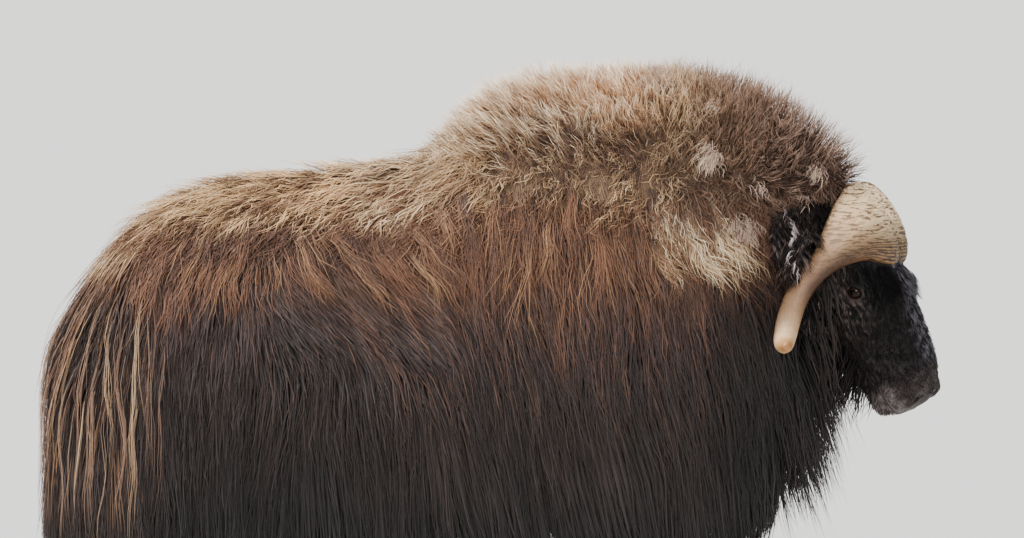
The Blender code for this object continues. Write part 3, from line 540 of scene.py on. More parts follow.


# Colours along the horn from the boss to the tip; the pale band where the horn bends towards the tip is a painted
# highlight.
HORN_TONES_AND_HIGHLIGHT = (
    (0.00, (1.06, 0.86, 0.57)),
    (0.02, (1.00, 0.77, 0.48)),
    (0.15, (0.98, 0.73, 0.44)),
    (0.24, (0.74, 0.49, 0.27)),
    (0.32, (0.44, 0.262, 0.142)),
    (0.45, (0.39, 0.215, 0.118)),
    (0.56, (0.50, 0.300, 0.170)),
    (0.67, (0.88, 0.590, 0.350)),
    (0.74, (0.92, 0.600, 0.330)),
    (0.82, (0.68, 0.370, 0.160)),
    (0.90, (0.52, 0.250, 0.090)),
    (1.00, (0.44, 0.190, 0.060)),
)
horn_finish = bpy.data.materials.new("horn")
tree, surface, add = nodes_of(horn_finish)
link = tree.links.new
grain = add("Attribute", attribute_name="grain")
parts = add("SeparateXYZ")
link(grain.outputs["Vector"], parts.inputs[0])
tones = ramp(add, *HORN_TONES_AND_HIGHLIGHT)
link(parts.outputs["X"], tones.inputs["Fac"])
stretch = add("Mapping")
stretch.inputs["Scale"].default_value = (7.0, 13.0, 13.0)
link(grain.outputs["Vector"], stretch.inputs["Vector"])
fibre = add("TexNoise", Scale=3.0, Detail=8.0, Roughness=0.65, Distortion=0.6)
link(stretch.outputs[0], fibre.inputs["Vector"])
long_way = add("Mapping")
long_way.inputs["Scale"].default_value = (32.0, 32.0, 165.0)
boss_place = add("TexCoord")
link(boss_place.outputs["Object"], long_way.inputs["Vector"])
cracks = add("TexNoise", Scale=1.15, Detail=5.0, Roughness=0.62, Distortion=0.5)
link(long_way.outputs[0], cracks.inputs["Vector"])
crack_line = ramp(
    add,
    (0.330, (0.10, 0.070, 0.045)),
    (0.420, (0.28, 0.205, 0.140)),
    (0.475, (1, 1, 1)),
)
link(cracks.outputs["Fac"], crack_line.inputs["Fac"])
boss_only = add("MapRange", From_Min=0.18, From_Max=0.42, To_Min=0.95, To_Max=0.10)
link(parts.outputs["X"], boss_only.inputs["Value"])
cracked = add("Mix", data_type="RGBA", blend_type="MULTIPLY")
link(boss_only.outputs["Result"], cracked.inputs["Factor"])
link(tones.outputs["Color"], cracked.inputs[6])
link(crack_line.outputs["Color"], cracked.inputs[7])
shade = ramp(add, (0.30, (0.50, 0.45, 0.40)), (0.52, (0.95, 0.93, 0.9)), (0.75, (1.2, 1.18, 1.12)))
link(fibre.outputs["Fac"], shade.inputs["Fac"])
shaded = add("Mix", data_type="RGBA", blend_type="MULTIPLY")
shaded.inputs["Factor"].default_value = 0.85
link(cracked.outputs[2], shaded.inputs[6])
link(shade.outputs["Color"], shaded.inputs[7])
# Painted shade: the boss's lower edge, on the side that faces down, is darkened to olive brown with fine lines of
# grain.
low_edge = add("MapRange", From_Min=-0.05, From_Max=0.65, To_Min=0.0, To_Max=1.0)
link(parts.outputs["Y"], low_edge.inputs["Value"])
low_part = add("MapRange", From_Min=0.66, From_Max=0.46, To_Min=0.0, To_Max=1.0)
link(parts.outputs["X"], low_part.inputs["Value"])
underside_shade = add("Math", operation="MULTIPLY")
link(low_edge.outputs["Result"], underside_shade.inputs[0])
link(low_part.outputs["Result"], underside_shade.inputs[1])
lines = add("TexWave", Scale=5.0, Distortion=1.2, Detail=2.0, Detail_Scale=1.5, bands_direction="Y")
link(grain.outputs["Vector"], lines.inputs["Vector"])
underside_grain_and_shade = ramp(add, (0.0, (0.055, 0.038, 0.023)), (1.0, (0.32, 0.245, 0.155)))
link(lines.outputs["Fac"], underside_grain_and_shade.inputs["Fac"])
underside_shaded = add("Mix", data_type="RGBA", blend_type="MULTIPLY")
link(underside_shade.outputs[0], underside_shaded.inputs["Factor"])
link(shaded.outputs[2], underside_shaded.inputs[6])
link(underside_grain_and_shade.outputs["Color"], underside_shaded.inputs[7])
link(underside_shaded.outputs[2], surface.inputs["Base Color"])
gloss = add("MapRange", From_Min=0.0, From_Max=0.5, To_Min=0.62, To_Max=0.36)
link(parts.outputs["X"], gloss.inputs["Value"])
link(gloss.outputs["Result"], surface.inputs["Roughness"])
crack_height = add("Mix", data_type="RGBA", blend_type="MIX")
crack_height.inputs[6].default_value = (1, 1, 1, 1)
link(boss_only.outputs["Result"], crack_height.inputs["Factor"])
link(crack_line.outputs["Color"], crack_height.inputs[7])
deep = add("Bump", Strength=0.7, Distance=0.004)
link(crack_height.outputs[2], deep.inputs["Height"])
fine = add("Bump", Strength=0.5, Distance=0.0015)
link(fibre.outputs["Fac"], fine.inputs["Height"])
link(deep.outputs["Normal"], fine.inputs["Normal"])
link(fine.outputs["Normal"], surface.inputs["Normal"])
for side, made in horns.items():
    made.data.materials.append(horn_finish)
    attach(made, "root")
    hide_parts("horn_" + side)

# Eyes
# Dark wet eyes with a wide level pupil, deep in hooded sockets at the sides of the head.
# Each is a polished ball set behind the lids.
eye_finish = bpy.data.materials.new("eye")
tree, surface, add = nodes_of(eye_finish)
link = tree.links.new
gaze = add("Attribute", attribute_name="gaze")
parts = add("SeparateXYZ")
link(gaze.outputs["Vector"], parts.inputs[0])
flat = add("Mapping")
flat.inputs["Scale"].default_value = (1.0, 0.0, 1.7)
link(gaze.outputs["Vector"], flat.inputs["Vector"])
pupil_reach = add("VectorMath", operation="LENGTH")
link(flat.outputs[0], pupil_reach.inputs[0])
round_reach = add("Mapping")
round_reach.inputs["Scale"].default_value = (1.0, 0.0, 1.0)
link(gaze.outputs["Vector"], round_reach.inputs["Vector"])
iris_reach = add("VectorMath", operation="LENGTH")
link(round_reach.outputs[0], iris_reach.inputs[0])
iris = ramp(
    add,
    (0.0, (0.020, 0.010, 0.006)),
    (0.55, (0.022, 0.011, 0.007)),
    (0.68, (0.016, 0.009, 0.006)),
    (0.80, (0.020, 0.014, 0.012)),
)
link(iris_reach.outputs["Value"], iris.inputs["Fac"])
pupil = ramp(add, (0.46, (0.003, 0.003, 0.004)), (0.54, (1, 1, 1)))
link(pupil_reach.outputs["Value"], pupil.inputs["Fac"])
eye_colour = add("Mix", data_type="RGBA", blend_type="MULTIPLY")
eye_colour.inputs["Factor"].default_value = 1.0
link(iris.outputs["Color"], eye_colour.inputs[6])
link(pupil.outputs["Color"], eye_colour.inputs[7])
veins = add("TexNoise", Scale=9.0, Detail=4.0)
link(gaze.outputs["Vector"], veins.inputs["Vector"])
wet = add("MapRange", From_Min=0.3, From_Max=0.7, To_Min=0.04, To_Max=0.10)
link(veins.outputs["Fac"], wet.inputs["Value"])
link(eye_colour.outputs[2], surface.inputs["Base Color"])
link(wet.outputs["Result"], surface.inputs["Roughness"])
surface.inputs["Specular IOR Level"].default_value = 0.04
surface.inputs["Coat Weight"].default_value = 0.26
surface.inputs["Coat Roughness"].default_value = 0.02
for side, sign in (("left", 1), ("right", -1)):
    shape = bmesh.new()
    bmesh.ops.create_uvsphere(shape, u_segments=48, v_segments=32, radius=1.0)
    gaze_rows = np.array([(v.co.x, v.co.y * sign, v.co.z) for v in shape.verts])
    tilt = Matrix.Rotation(EYE_TILT, 4, "Y")
    place = Matrix.Translation((EYE_PLACE.x, EYE_PLACE.y * sign, EYE_PLACE.z))
    bmesh.ops.transform(shape, matrix=head_pose @ place @ tilt @ Matrix.Scale(EYE_RADIUS, 4), verts=shape.verts)
    eyeball = piece("eyeball_" + side, shape)
    note(eyeball.data, "gaze", gaze_rows)
    eyeball.data.materials.append(eye_finish)
    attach(eyeball, "root")
    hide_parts("eye_" + side)

# Hooves
# Broad round toes of dark worn horn, two to a foot, each a separate hoof that stands flat.
HOOF_SIZES = {"front": (0.472, 0.165, 0.078, 0.036), "rear": (-0.756, 0.175, 0.070, 0.033)}
HOOF_HEIGHT = 0.0597
TOE_GAP = 0.005
HOOF_PROFILE = (
    (0.00, 0.985, 0.985, 0.0120),
    (0.03, 1.000, 1.000, 0.0120),
    (0.25, 0.975, 0.985, 0.0095),
    (0.50, 0.915, 0.955, 0.0065),
    (0.80, 0.760, 0.850, 0.0022),
    (0.93, 0.660, 0.785, 0.0005),
    (1.00, 0.590, 0.730, 0.0000),
)
hoof_finish = bpy.data.materials.new("hoof")
tree, surface, add = nodes_of(hoof_finish)
link = tree.links.new
where = add("TexCoord")
squashed = add("Mapping")
squashed.inputs["Scale"].default_value = (40.0, 40.0, 260.0)
link(where.outputs["Object"], squashed.inputs["Vector"])
layers = add("TexNoise", Scale=1.0, Detail=6.0, Roughness=0.6)
link(squashed.outputs[0], layers.inputs["Vector"])
hoof_tones = ramp(add, (0.3, (0.012, 0.011, 0.010)), (0.55, (0.035, 0.030, 0.026)), (0.8, (0.10, 0.085, 0.07)))
link(layers.outputs["Fac"], hoof_tones.inputs["Fac"])
link(hoof_tones.outputs["Color"], surface.inputs["Base Color"])
worn = add("MapRange", From_Min=0.3, From_Max=0.7, To_Min=0.38, To_Max=0.62)
link(layers.outputs["Fac"], worn.inputs["Value"])
link(worn.outputs["Result"], surface.inputs["Roughness"])
rings_bump = add("Bump", Strength=0.6, Distance=0.0012)
link(layers.outputs["Fac"], rings_bump.inputs["Height"])
link(rings_bump.outputs["Normal"], surface.inputs["Normal"])
for end, (middle_x, side_y, half_length, half_width) in HOOF_SIZES.items():
    for side, sign in (("left", 1), ("right", -1)):
        for toe, outer in (("outer", 1), ("inner", -1)):
            centre_y = sign * side_y + sign * outer * (half_width + TOE_GAP / 2)
            rings = []
            for height, length, width, reach in along(HOOF_PROFILE, 3):
                ring = []
                for i in range(48):
                    turn = 2 * math.pi * i / 48
                    across = math.sin(turn) * (0.9 if math.sin(turn) * sign * outer < 0 else 1.0)
                    x = middle_x + reach + half_length * length * math.cos(turn)
                    ring.append(Vector((x, centre_y + half_width * width * across, HOOF_HEIGHT * height)) + shift)
                rings.append(ring)
            made = piece(f"toe_{end}_{side}_{toe}", tube(rings))
            made.data.materials.append(hoof_finish)
            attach(made, "root")
            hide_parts(f"hoof_{end}_{side}_{toe}")

# Colours of the skin and the coat
# One set of markings for hide and hair: a golden saddle and hump, a flank that darkens to
# near black at the hem, blond streaks on the rump, cream locks on the neck, a dark face.
# Painted light and shade are mixed into these colours: painted shade under the saddle's edge,
# in the hollow and clefts of the wool and at the roots, and a painted rim of light on the top line.
# The brightest blond, lighter than any real hair, is a painted rim of back light on the sun-bleached top line of the
# back and the crest.
BLEACHED_RIM_LIGHT = np.array((1.08, 0.93, 0.68))
CREAM = np.array((0.93, 0.75, 0.50))
BLOND = np.array((0.72, 0.49, 0.265))
HONEY = np.array((1.00, 0.67, 0.34))
APRICOT = np.array((0.80, 0.44, 0.22))
GOLD = np.array((0.52, 0.305, 0.145))
TAN = np.array((0.37, 0.200, 0.100))
RUSSET = np.array((0.215, 0.096, 0.050))
UMBER = np.array((0.110, 0.053, 0.034))
PLUM = np.array((0.060, 0.034, 0.028))
DARK = np.array((0.029, 0.0185, 0.0160))
BLACK = np.array((0.012, 0.0095, 0.0090))
ASH = np.array((0.20, 0.17, 0.165))
BONE = np.array((0.46, 0.37, 0.27))
FAWN = np.array((0.37, 0.240, 0.175))
FLANK_HEIGHTS = (0.30, 0.46, 0.64, 0.78, 0.90, 0.99, 1.06, 1.12, 1.17)
FLANK_COLOURS = np.array(
    (BLACK, DARK, DARK * 1.4, PLUM * 1.1, UMBER * 1.1, RUSSET, RUSSET * 1.4, GOLD, BLOND)
)
TOP_LINE = np.array([(row[0], row[2]) for row in COAT_ROWS])
SADDLE_TOP = 1.19


def fade(value, low, high):
    """0 below low, 1 above high and smooth between."""
    t = np.clip((value - low) / (high - low), 0.0, 1.0)
    return t * t * (3 - 2 * t)


def between(value, low, high, soft):
    """1 from low to high and 0 past them, with soft ends."""
    return fade(value, low - soft, low + soft) * (1 - fade(value, high - soft, high + soft))


def mixed(first, second, share):
    """Colours between the first and the second."""
    return first + (second - first) * np.asarray(share)[..., None]


def body_tint(place, tone, lot, share):
    """The colour of body hair, for its lock's tone and its own lot (0 to 1) and share of its length."""
    spot = place - np.array(shift)
    x = spot[..., 0] + 0.05 * ripple(spot, 0.35, 11)
    fall = np.clip(SADDLE_TOP - np.interp(spot[..., 0], TOP_LINE[:, 0], TOP_LINE[:, 1]), 0.0, 0.4)
    z = spot[..., 2] + 0.030 * ripple(spot, 0.22, 12) + 0.09 * (tone - 0.5) + 0.06 * (lot - 0.5)
    high = z + 0.60 * fall * (spot[..., 0] < 0)
    side = z + 0.22 * fall * (spot[..., 0] < 0) - 0.08 * between(x, -0.74, -0.26, 0.08)
    colour = np.stack([np.interp(side, FLANK_HEIGHTS, FLANK_COLOURS[:, c]) for c in range(3)], -1)
    colour = colour * (0.87 + 0.24 * ripple(spot * np.array([1, 1, 0.2]), 0.075, 17))[..., None]
    shadow = between(x, -0.75, -0.08, 0.08) * between(z, 0.93, 1.07, 0.04)
    colour = colour * (1 - 0.22 * shadow)[..., None]
    colour = mixed(colour, colour * 1.9, fade(lot, 0.78, 0.96) * share)
    rusty = fade(0.6 * tone + 0.4 * lot, 0.60, 0.8) * between(z, 0.66, 1.05, 0.12) * fade(x, -0.75, -0.2)
    colour = mixed(colour, RUSSET, 0.6 * rusty * share)
    fringe = between(x, -0.25, 0.42, 0.10) * between(z, 0.92, 1.14, 0.06)
    colour = mixed(colour, mixed(RUSSET * 0.78, TAN, fade(lot, 0.70, 1.0)), fringe * (0.45 + 0.4 * share))
    colour = colour * (1 - 0.18 * fringe * fade(x, 0.02, 0.15))[..., None]
    back = fade(high, 1.04, 1.13) * (1 - fade(x, -0.22, -0.04))
    wisps = mixed(mixed(TAN, BLOND, fade(tone, 0.10, 0.5)), HONEY, fade(lot, 0.35, 0.95) * fade(high, 1.07, 1.16))
    wisps = wisps * (1.12 + 0.22 * between(x, -0.55, -0.05, 0.10))[..., None]
    # Painted rim light: the back just behind the hump is brightened towards the rim colour.
    wisps = mixed(wisps, BLEACHED_RIM_LIGHT, 0.65 * between(x, -0.36, 0.0, 0.06) * fade(z, 1.07, 1.16) * lot)
    # Saddle hair is dark at the root: partly its own colour, partly painted shade deep in the coat.
    colour = mixed(colour, mixed(UMBER * 1.2, wisps, fade(share, 0.12, 0.72)), 0.88 * back)
    fore = fade(x, 0.34, 0.52) * fade(z, 0.98, 1.14)
    colour = mixed(colour, mixed(UMBER * 0.9, mixed(RUSSET, FAWN, lot), share), 0.9 * fore)
    crest = fade(z, 1.13, 1.22) * between(x, -0.20, 0.46, 0.10)
    # Painted rim light: the top of the crest turns paler and more apricot, partly sun-bleached tips, partly painted
    # back light on them.
    bleached_rim_lit_top = fade(z, 1.26, 1.38)
    tips = mixed(mixed(GOLD, BLOND, fade(tone, 0.2, 0.6)), BLEACHED_RIM_LIGHT, fade(lot + 0.5 * bleached_rim_lit_top, 0.2, 0.75) * fade(z, 1.17, 1.30) * (1 - 0.55 * fade(x, 0.26, 0.40)))
    warm = mixed(UMBER, mixed(GOLD, APRICOT, bleached_rim_lit_top), fade(share + 0.35 * bleached_rim_lit_top, 0.10, 0.45))
    colour = mixed(colour, mixed(warm, tips, fade(share, 0.40, 0.90)), crest)
    # Painted shade: the hollow under the crest is darkened, except where a few blond locks lie in it.
    shaded_hollow = between(x, -0.01, 0.46, 0.06) * between(z, 1.13, 1.29, 0.03)
    colour = mixed(colour, UMBER * 1.2, 0.70 * shaded_hollow * (1 - fade(lot, 0.45, 0.75)))
    colour = mixed(colour, BLOND * 1.1, 0.5 * shaded_hollow * fade(lot, 0.86, 1.0) * share)
    brow = fade(x, 0.58, 0.76) * fade(z, 0.95, 1.12)
    frizz = mixed(mixed(UMBER, FAWN, lot), FAWN * 1.7, fade(z, 1.12, 1.34) * fade(lot, 0.0, 0.8))
    colour = mixed(colour, mixed(UMBER * 0.6, frizz, fade(share, 0.1, 0.9)), 0.85 * brow)
    matted = np.clip(back + crest + fore + brow, 0.0, 1.0)
    # Painted shade: dark clefts between the matted tufts and a dark crease under the crest stand in for the shadows
    # between them.
    shadow_clefts = np.maximum(fade(ripple(spot, 0.085, 14), 0.30, 0.80), 1 - fade(tone, 0.14, 0.30))
    shadow_crease = between(x, 0.10, 0.40, 0.06) * between(z, 1.245, 1.315, 0.03) * fade(ripple(spot, 0.06, 15), -0.4, 0.3)
    deep = (0.65 * shadow_clefts + 0.7 * shadow_crease) * (1 - 0.75 * fade(z, 1.29, 1.36))
    colour = mixed(colour, UMBER * 0.8, matted * np.clip(deep, 0.0, 0.85))
    throat = fade(x, 0.46, 0.62) * (1 - fade(z, 0.84, 0.98))
    colour = mixed(colour, BLACK * 0.9, 0.88 * throat)
    cheek = fade(x, 0.68, 0.74) * (1 - fade(z, 0.94, 1.02))
    strokes = fade(ripple(spot * np.array([1, 1, 0.5]), 0.014, 18), 0.1, 0.8) * fade(z, 0.76, 0.82)
    colour = mixed(colour, mixed(BLACK, ASH * np.array((0.8, 0.68, 0.62)), strokes * (0.3 + 0.7 * lot)), cheek)
    beside_ear = between(spot[..., 0], 0.676, 0.84, 0.012) * between(spot[..., 2], 0.95, 1.085, 0.014)
    colour = mixed(colour, BLACK, 0.9 * beside_ear)
    rear = 1 - fade(x, -0.98, -0.72)
    hip = mixed(DARK * 1.2, mixed(UMBER * 1.4, TAN, lot), fade(tone + 0.35 * lot, 0.90, 1.15) * fade(z, 0.30, 0.5))
    hip = mixed(hip, mixed(UMBER * 1.2, RUSSET * 1.2, lot), fade(side, 0.88, 0.99) * 0.8)
    colour = mixed(colour, hip, rear * 0.9 * (1 - fade(side, 0.96, 1.05)))
    legs = (1 - fade(z, 0.44, 0.52)) * (1 - fade(np.abs(spot[..., 1]), 0.235, 0.30))
    return colour, legs


def head_tint(place, lot, share):
    """The colour of the head's hair: black brow with painted shadow under the boss, ash down the nose with a painted
    sheen, brown cheeks, paler lids.
    """
    spot = place @ to_head[:3, :3].T + to_head[:3, 3]
    side = np.abs(spot[..., 1])
    strokes = fade(ripple(spot * np.array([0.4, 1, 1]), 0.013, 16), 0.0, 0.7)
    # Painted shadow: the black brow just under the horn boss is darkened further.
    brow_and_boss_shadow = between(spot[..., 0], 0.12, 0.28, 0.02) * fade(side, 0.02, 0.04) * fade(spot[..., 2], -0.06, -0.02)
    colour = BLACK * ((0.45 + 0.9 * lot) * (1 - 0.7 * brow_and_boss_shadow))[..., None]
    cheek = (1 - fade(spot[..., 2], -0.075, -0.02)) * (1 - 0.8 * fade(spot[..., 0], 0.24, 0.34))
    grey = ASH * np.array((1.7, 1.44, 1.32))
    colour = mixed(colour, grey, 0.75 * cheek * strokes * (0.3 + 0.7 * fade(lot, 0.1, 0.8)))
    # Grey hair down the nose ridge, tinted blue: partly its own grey, partly a painted sheen of the sky.
    ridge = (1 - fade(side, 0.026, 0.060)) * fade(spot[..., 2], -0.03, 0.02) * between(spot[..., 0], 0.19, 0.44, 0.02)
    colour = mixed(colour, ASH * np.array((1.3, 1.4, 1.7)), 0.75 * ridge * fade(lot, 0.40, 0.85))
    sides = np.array(EYE_PLACE) * np.stack([np.ones_like(side), np.sign(spot[..., 1]), np.ones_like(side)], -1)
    lids = 1 - fade(np.linalg.norm(spot - sides, axis=-1), 0.027, 0.036)
    below = fade(spot[..., 0], EYE_PLACE.x - 0.005, EYE_PLACE.x + 0.015)
    colour = mixed(colour, np.array((0.105, 0.068, 0.060)), 0.8 * lids * below)
    muzzle = fade(spot[..., 0], 0.43, 0.48)
    lips = muzzle * fade(-spot[..., 2], 0.075, 0.10)
    colour = mixed(colour, DARK * 1.3, 0.6 * muzzle)
    colour = mixed(colour, ASH * 0.9, 0.45 * muzzle * fade(lot, 0.4, 0.9))
    return mixed(colour, ASH * 1.5, 0.6 * lips * fade(lot, 0.1, 0.7))


to_head = np.array(head_pose.inverted())


def painted(mesh, strength):
    """Writes the pelt's markings, with their painted shade and light, on the skin."""
    place = places_of(mesh)
    lot = 0.5 + 0.35 * ripple(place, 0.03, 21)
    colour, legs = body_tint(place, lot, lot, np.zeros(len(place)))
    colour = mixed(colour, BONE, legs)
    corner = np.empty(len(mesh.loops), np.int32)
    mesh.loops.foreach_get("vertex_index", corner)
    finish = np.empty(len(mesh.polygons), np.int32)
    mesh.polygons.foreach_get("material_index", finish)
    total = np.empty(len(mesh.polygons), np.int32)
    mesh.polygons.foreach_get("loop_total", total)
    on_head = np.zeros(len(place), bool)
    on_head[corner[np.repeat(finish, total) > 0]] = True
    colour[on_head] = head_tint(place[on_head], lot[on_head], 0)
    note(mesh, "tint", np.concatenate([colour * strength, np.ones((len(place), 1))], 1))


painted(skin.data, 0.8)

# Skin finish
# Hide with a dense short undercoat: fibres a millimetre or less across, in the coat's colours.
for finish, fibre_size in ((hide_finish, 260.0), (face_finish, 420.0), (ear_finish, 420.0)):
    tree, surface, add = nodes_of(finish)
    link = tree.links.new
    tint = add("Attribute", attribute_name="tint")
    where = add("TexCoord")
    drawn = add("Mapping")
    drawn.inputs["Scale"].default_value = (1.0, 1.0, 0.22)
    link(where.outputs["Object"], drawn.inputs["Vector"])
    fibres = add("TexNoise", Scale=fibre_size, Detail=6.0, Roughness=0.6, Distortion=0.4)
    link(drawn.outputs[0], fibres.inputs["Vector"])
    shade = add("MapRange", From_Min=0.3, From_Max=0.7, To_Min=0.45, To_Max=1.35)
    link(fibres.outputs["Fac"], shade.inputs["Value"])
    toned = add("VectorMath", operation="SCALE")
    link(tint.outputs["Color"], toned.inputs[0])
    link(shade.outputs["Result"], toned.inputs["Scale"])
    link(toned.outputs["Vector"], surface.inputs["Base Color"])
    rough = add("MapRange", From_Min=0.3, From_Max=0.7, To_Min=0.85, To_Max=0.6)
    link(fibres.outputs["Fac"], rough.inputs["Value"])
    link(rough.outputs["Result"], surface.inputs["Roughness"])
    nap = add("Bump", Strength=0.8, Distance=0.003)
    link(fibres.outputs["Fac"], nap.inputs["Height"])
    link(nap.outputs["Normal"], surface.inputs["Normal"])
    surface.inputs["Specular IOR Level"].default_value = 0.3
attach(skin, "root")
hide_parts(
    "head", "neck", "torso_shoulders", "torso_barrel", "torso_rump", "tail", "ear_left", "ear_right",
    "leg_front_left", "leg_front_right", "leg_rear_left", "leg_rear_right",
)

# Flank coat
# Long straight guard hair that hangs from the sides to below the belly, in strands a few
# millimetres thick gathered into locks. Every hair is a solid tapered strand on the skin.
skin_places = places_of(skin.data)
skin_outs = np.empty(len(skin_places) * 3, np.float32)
skin.data.vertex_normals.foreach_get("vector", skin_outs)
skin_outs = skin_outs.reshape(-1, 3)
skin.data.calc_loop_triangles()
count = len(skin.data.loop_triangles)
corners = np.empty(count * 3, np.int32)
skin.data.loop_triangles.foreach_get("vertices", corners)
corners = corners.reshape(-1, 3)
owner = np.empty(count, np.int32)
skin.data.loop_triangles.foreach_get("polygon_index", owner)
finishes = np.empty(len(skin.data.polygons), np.int32)
skin.data.polygons.foreach_get("material_index", finishes)
patch_part = finishes[owner]
patch_corners = skin_places[corners]
patch_middle = patch_corners.mean(1)
patch_out = skin_outs[corners].mean(1)
patch_area = np.linalg.norm(
    np.cross(patch_corners[:, 1] - patch_corners[:, 0], patch_corners[:, 2] - patch_corners[:, 0]), axis=1
)
HIDE_PART, HEAD_PART, EAR_PART = 0, 1, 2
head_turn = np.array(head_pose.to_3x3())
horn_trees = []
for made in horns.values():
    shape = bmesh.new()
    shape.from_mesh(made.data)
    horn_trees.append(search_tree(shape))


def unit(vectors):
    """The vectors at length 1."""
    return vectors / np.maximum(np.linalg.norm(vectors, axis=-1, keepdims=True), 1e-9)


def head_spot(place):
    """Places in the head's own measure."""
    return place @ to_head[:3, :3].T + to_head[:3, 3]


def clear_of_horns(place):
    """Whether each place is outside the horns, by 4 mm or more."""
    found = np.ones(len(place), bool)
    for tree in horn_trees:
        for i, point in enumerate(place):
            near, out, _, distance = tree.find_nearest(Vector(point))
            found[i] &= distance > 0.004 and (Vector(point) - near).dot(out) > 0
    return found


def rooted(zone, count, draw, part=HIDE_PART):
    """Roots and outward directions, spread over the skin where the zone lets hair grow."""
    weights = zone(patch_middle - np.array(shift), patch_out) * patch_area * (patch_part == part)
    chosen = draw.choice(len(weights), count, p=weights / weights.sum())
    a, b = draw.random((2, count, 1))
    a = np.sqrt(a)
    shares = np.concatenate([1 - a, a * (1 - b), a * b], 1)[:, :, None]
    return (skin_places[corners[chosen]] * shares).sum(1), unit((skin_outs[corners[chosen]] * shares).sum(1))


def laid(roots, outs, lengths, flow, steps, settle, depth):
    """The way each guide hair takes, held at its depth under the coat's form where settle is set."""
    place = roots.astype(float)
    out = outs.astype(float)
    ways, faces = [place], [out]
    start = None
    for step in range(steps + 1):
        if settle:
            found = [coat_form.find_nearest(Vector(p)) for p in place]
            surface_at = np.array([f[0] for f in found])
            form_out = np.array([f[1] for f in found])
            if start is None:
                start = ((surface_at - place) * form_out).sum(1)
                out = form_out
            else:
                gone = np.exp(-lengths * step / steps / settle)
                place = surface_at - form_out * (start * gone + depth * (1 - gone))[:, None]
                out = unit(out + form_out)
                ways.append(place)
                faces.append(out)
        elif step:
            ways.append(place)
            faces.append(out)
        place = place + unit(flow(place - np.array(shift), out, step / steps)) * (lengths / steps)[:, None]
    return np.stack(ways, 1), np.stack(faces, 1)


def hung(flow):
    """A flow that keeps to the surface."""

    def along_surface(spot, out, share):
        way = flow(spot, out, share)
        return way - out * (way * out).sum(-1, keepdims=True)

    return along_surface


def coat_finish(name, streaks, lowest_rough, shine=0.3):
    """The finish of a piece of coat: its tint, with fine hairs along each strand."""
    finish = bpy.data.materials.new(name)
    tree, surface, add = nodes_of(finish)
    link = tree.links.new
    tint = add("Attribute", attribute_name="tint")
    lie = add("Attribute", attribute_name="lie")
    stretch = add("Mapping")
    stretch.inputs["Scale"].default_value = (2.6, 16.0, 61.0)
    link(lie.outputs["Vector"], stretch.inputs["Vector"])
    hairs = add("TexNoise", Scale=1.0, Detail=3.0, Roughness=0.6)
    link(stretch.outputs[0], hairs.inputs["Vector"])
    shade = add("MapRange", From_Min=0.3, From_Max=0.7, To_Min=1 - streaks, To_Max=1 + streaks)
    link(hairs.outputs["Fac"], shade.inputs["Value"])
    toned = add("VectorMath", operation="SCALE")
    link(tint.outputs["Color"], toned.inputs[0])
    link(shade.outputs["Result"], toned.inputs["Scale"])
    link(toned.outputs["Vector"], surface.inputs["Base Color"])
    rough = add("MapRange", From_Min=0.3, From_Max=0.7, To_Min=lowest_rough + 0.2, To_Max=lowest_rough)
    link(hairs.outputs["Fac"], rough.inputs["Value"])
    link(rough.outputs["Result"], surface.inputs["Roughness"])
    nap = add("Bump", Strength=0.4, Distance=0.0006)
    link(hairs.outputs["Fac"], nap.inputs["Height"])
    link(nap.outputs["Normal"], surface.inputs["Normal"])
    surface.inputs["Specular IOR Level"].default_value = shine
    surface.inputs["Sheen Weight"].default_value = shine * 0.25
    surface.inputs["Sheen Roughness"].default_value = 0.45
    return finish


def body_unwrap(place):
    """The body's skin laid flat: along its length, and round it."""
    spot = place - np.array(shift)
    turn = np.arctan2(spot[:, 1], spot[:, 2] - 0.80) / (2 * math.pi) + 0.5
    return np.stack([(spot[:, 0] + 1.15) / 2.2, turn], 1)


def head_unwrap(place):
    """The head's skin laid flat: along the nose, and round it."""
    spot = head_spot(place)
    turn = np.arctan2(spot[:, 1], spot[:, 2] + 0.08) / (2 * math.pi) + 0.5
    return np.stack([(spot[:, 0] + 0.15) / 0.75, turn], 1)


PATCH = 0.0015
RIDGE = 0.5
TRIM_HEIGHT = 1.440
TRIM_REACH = 0.032


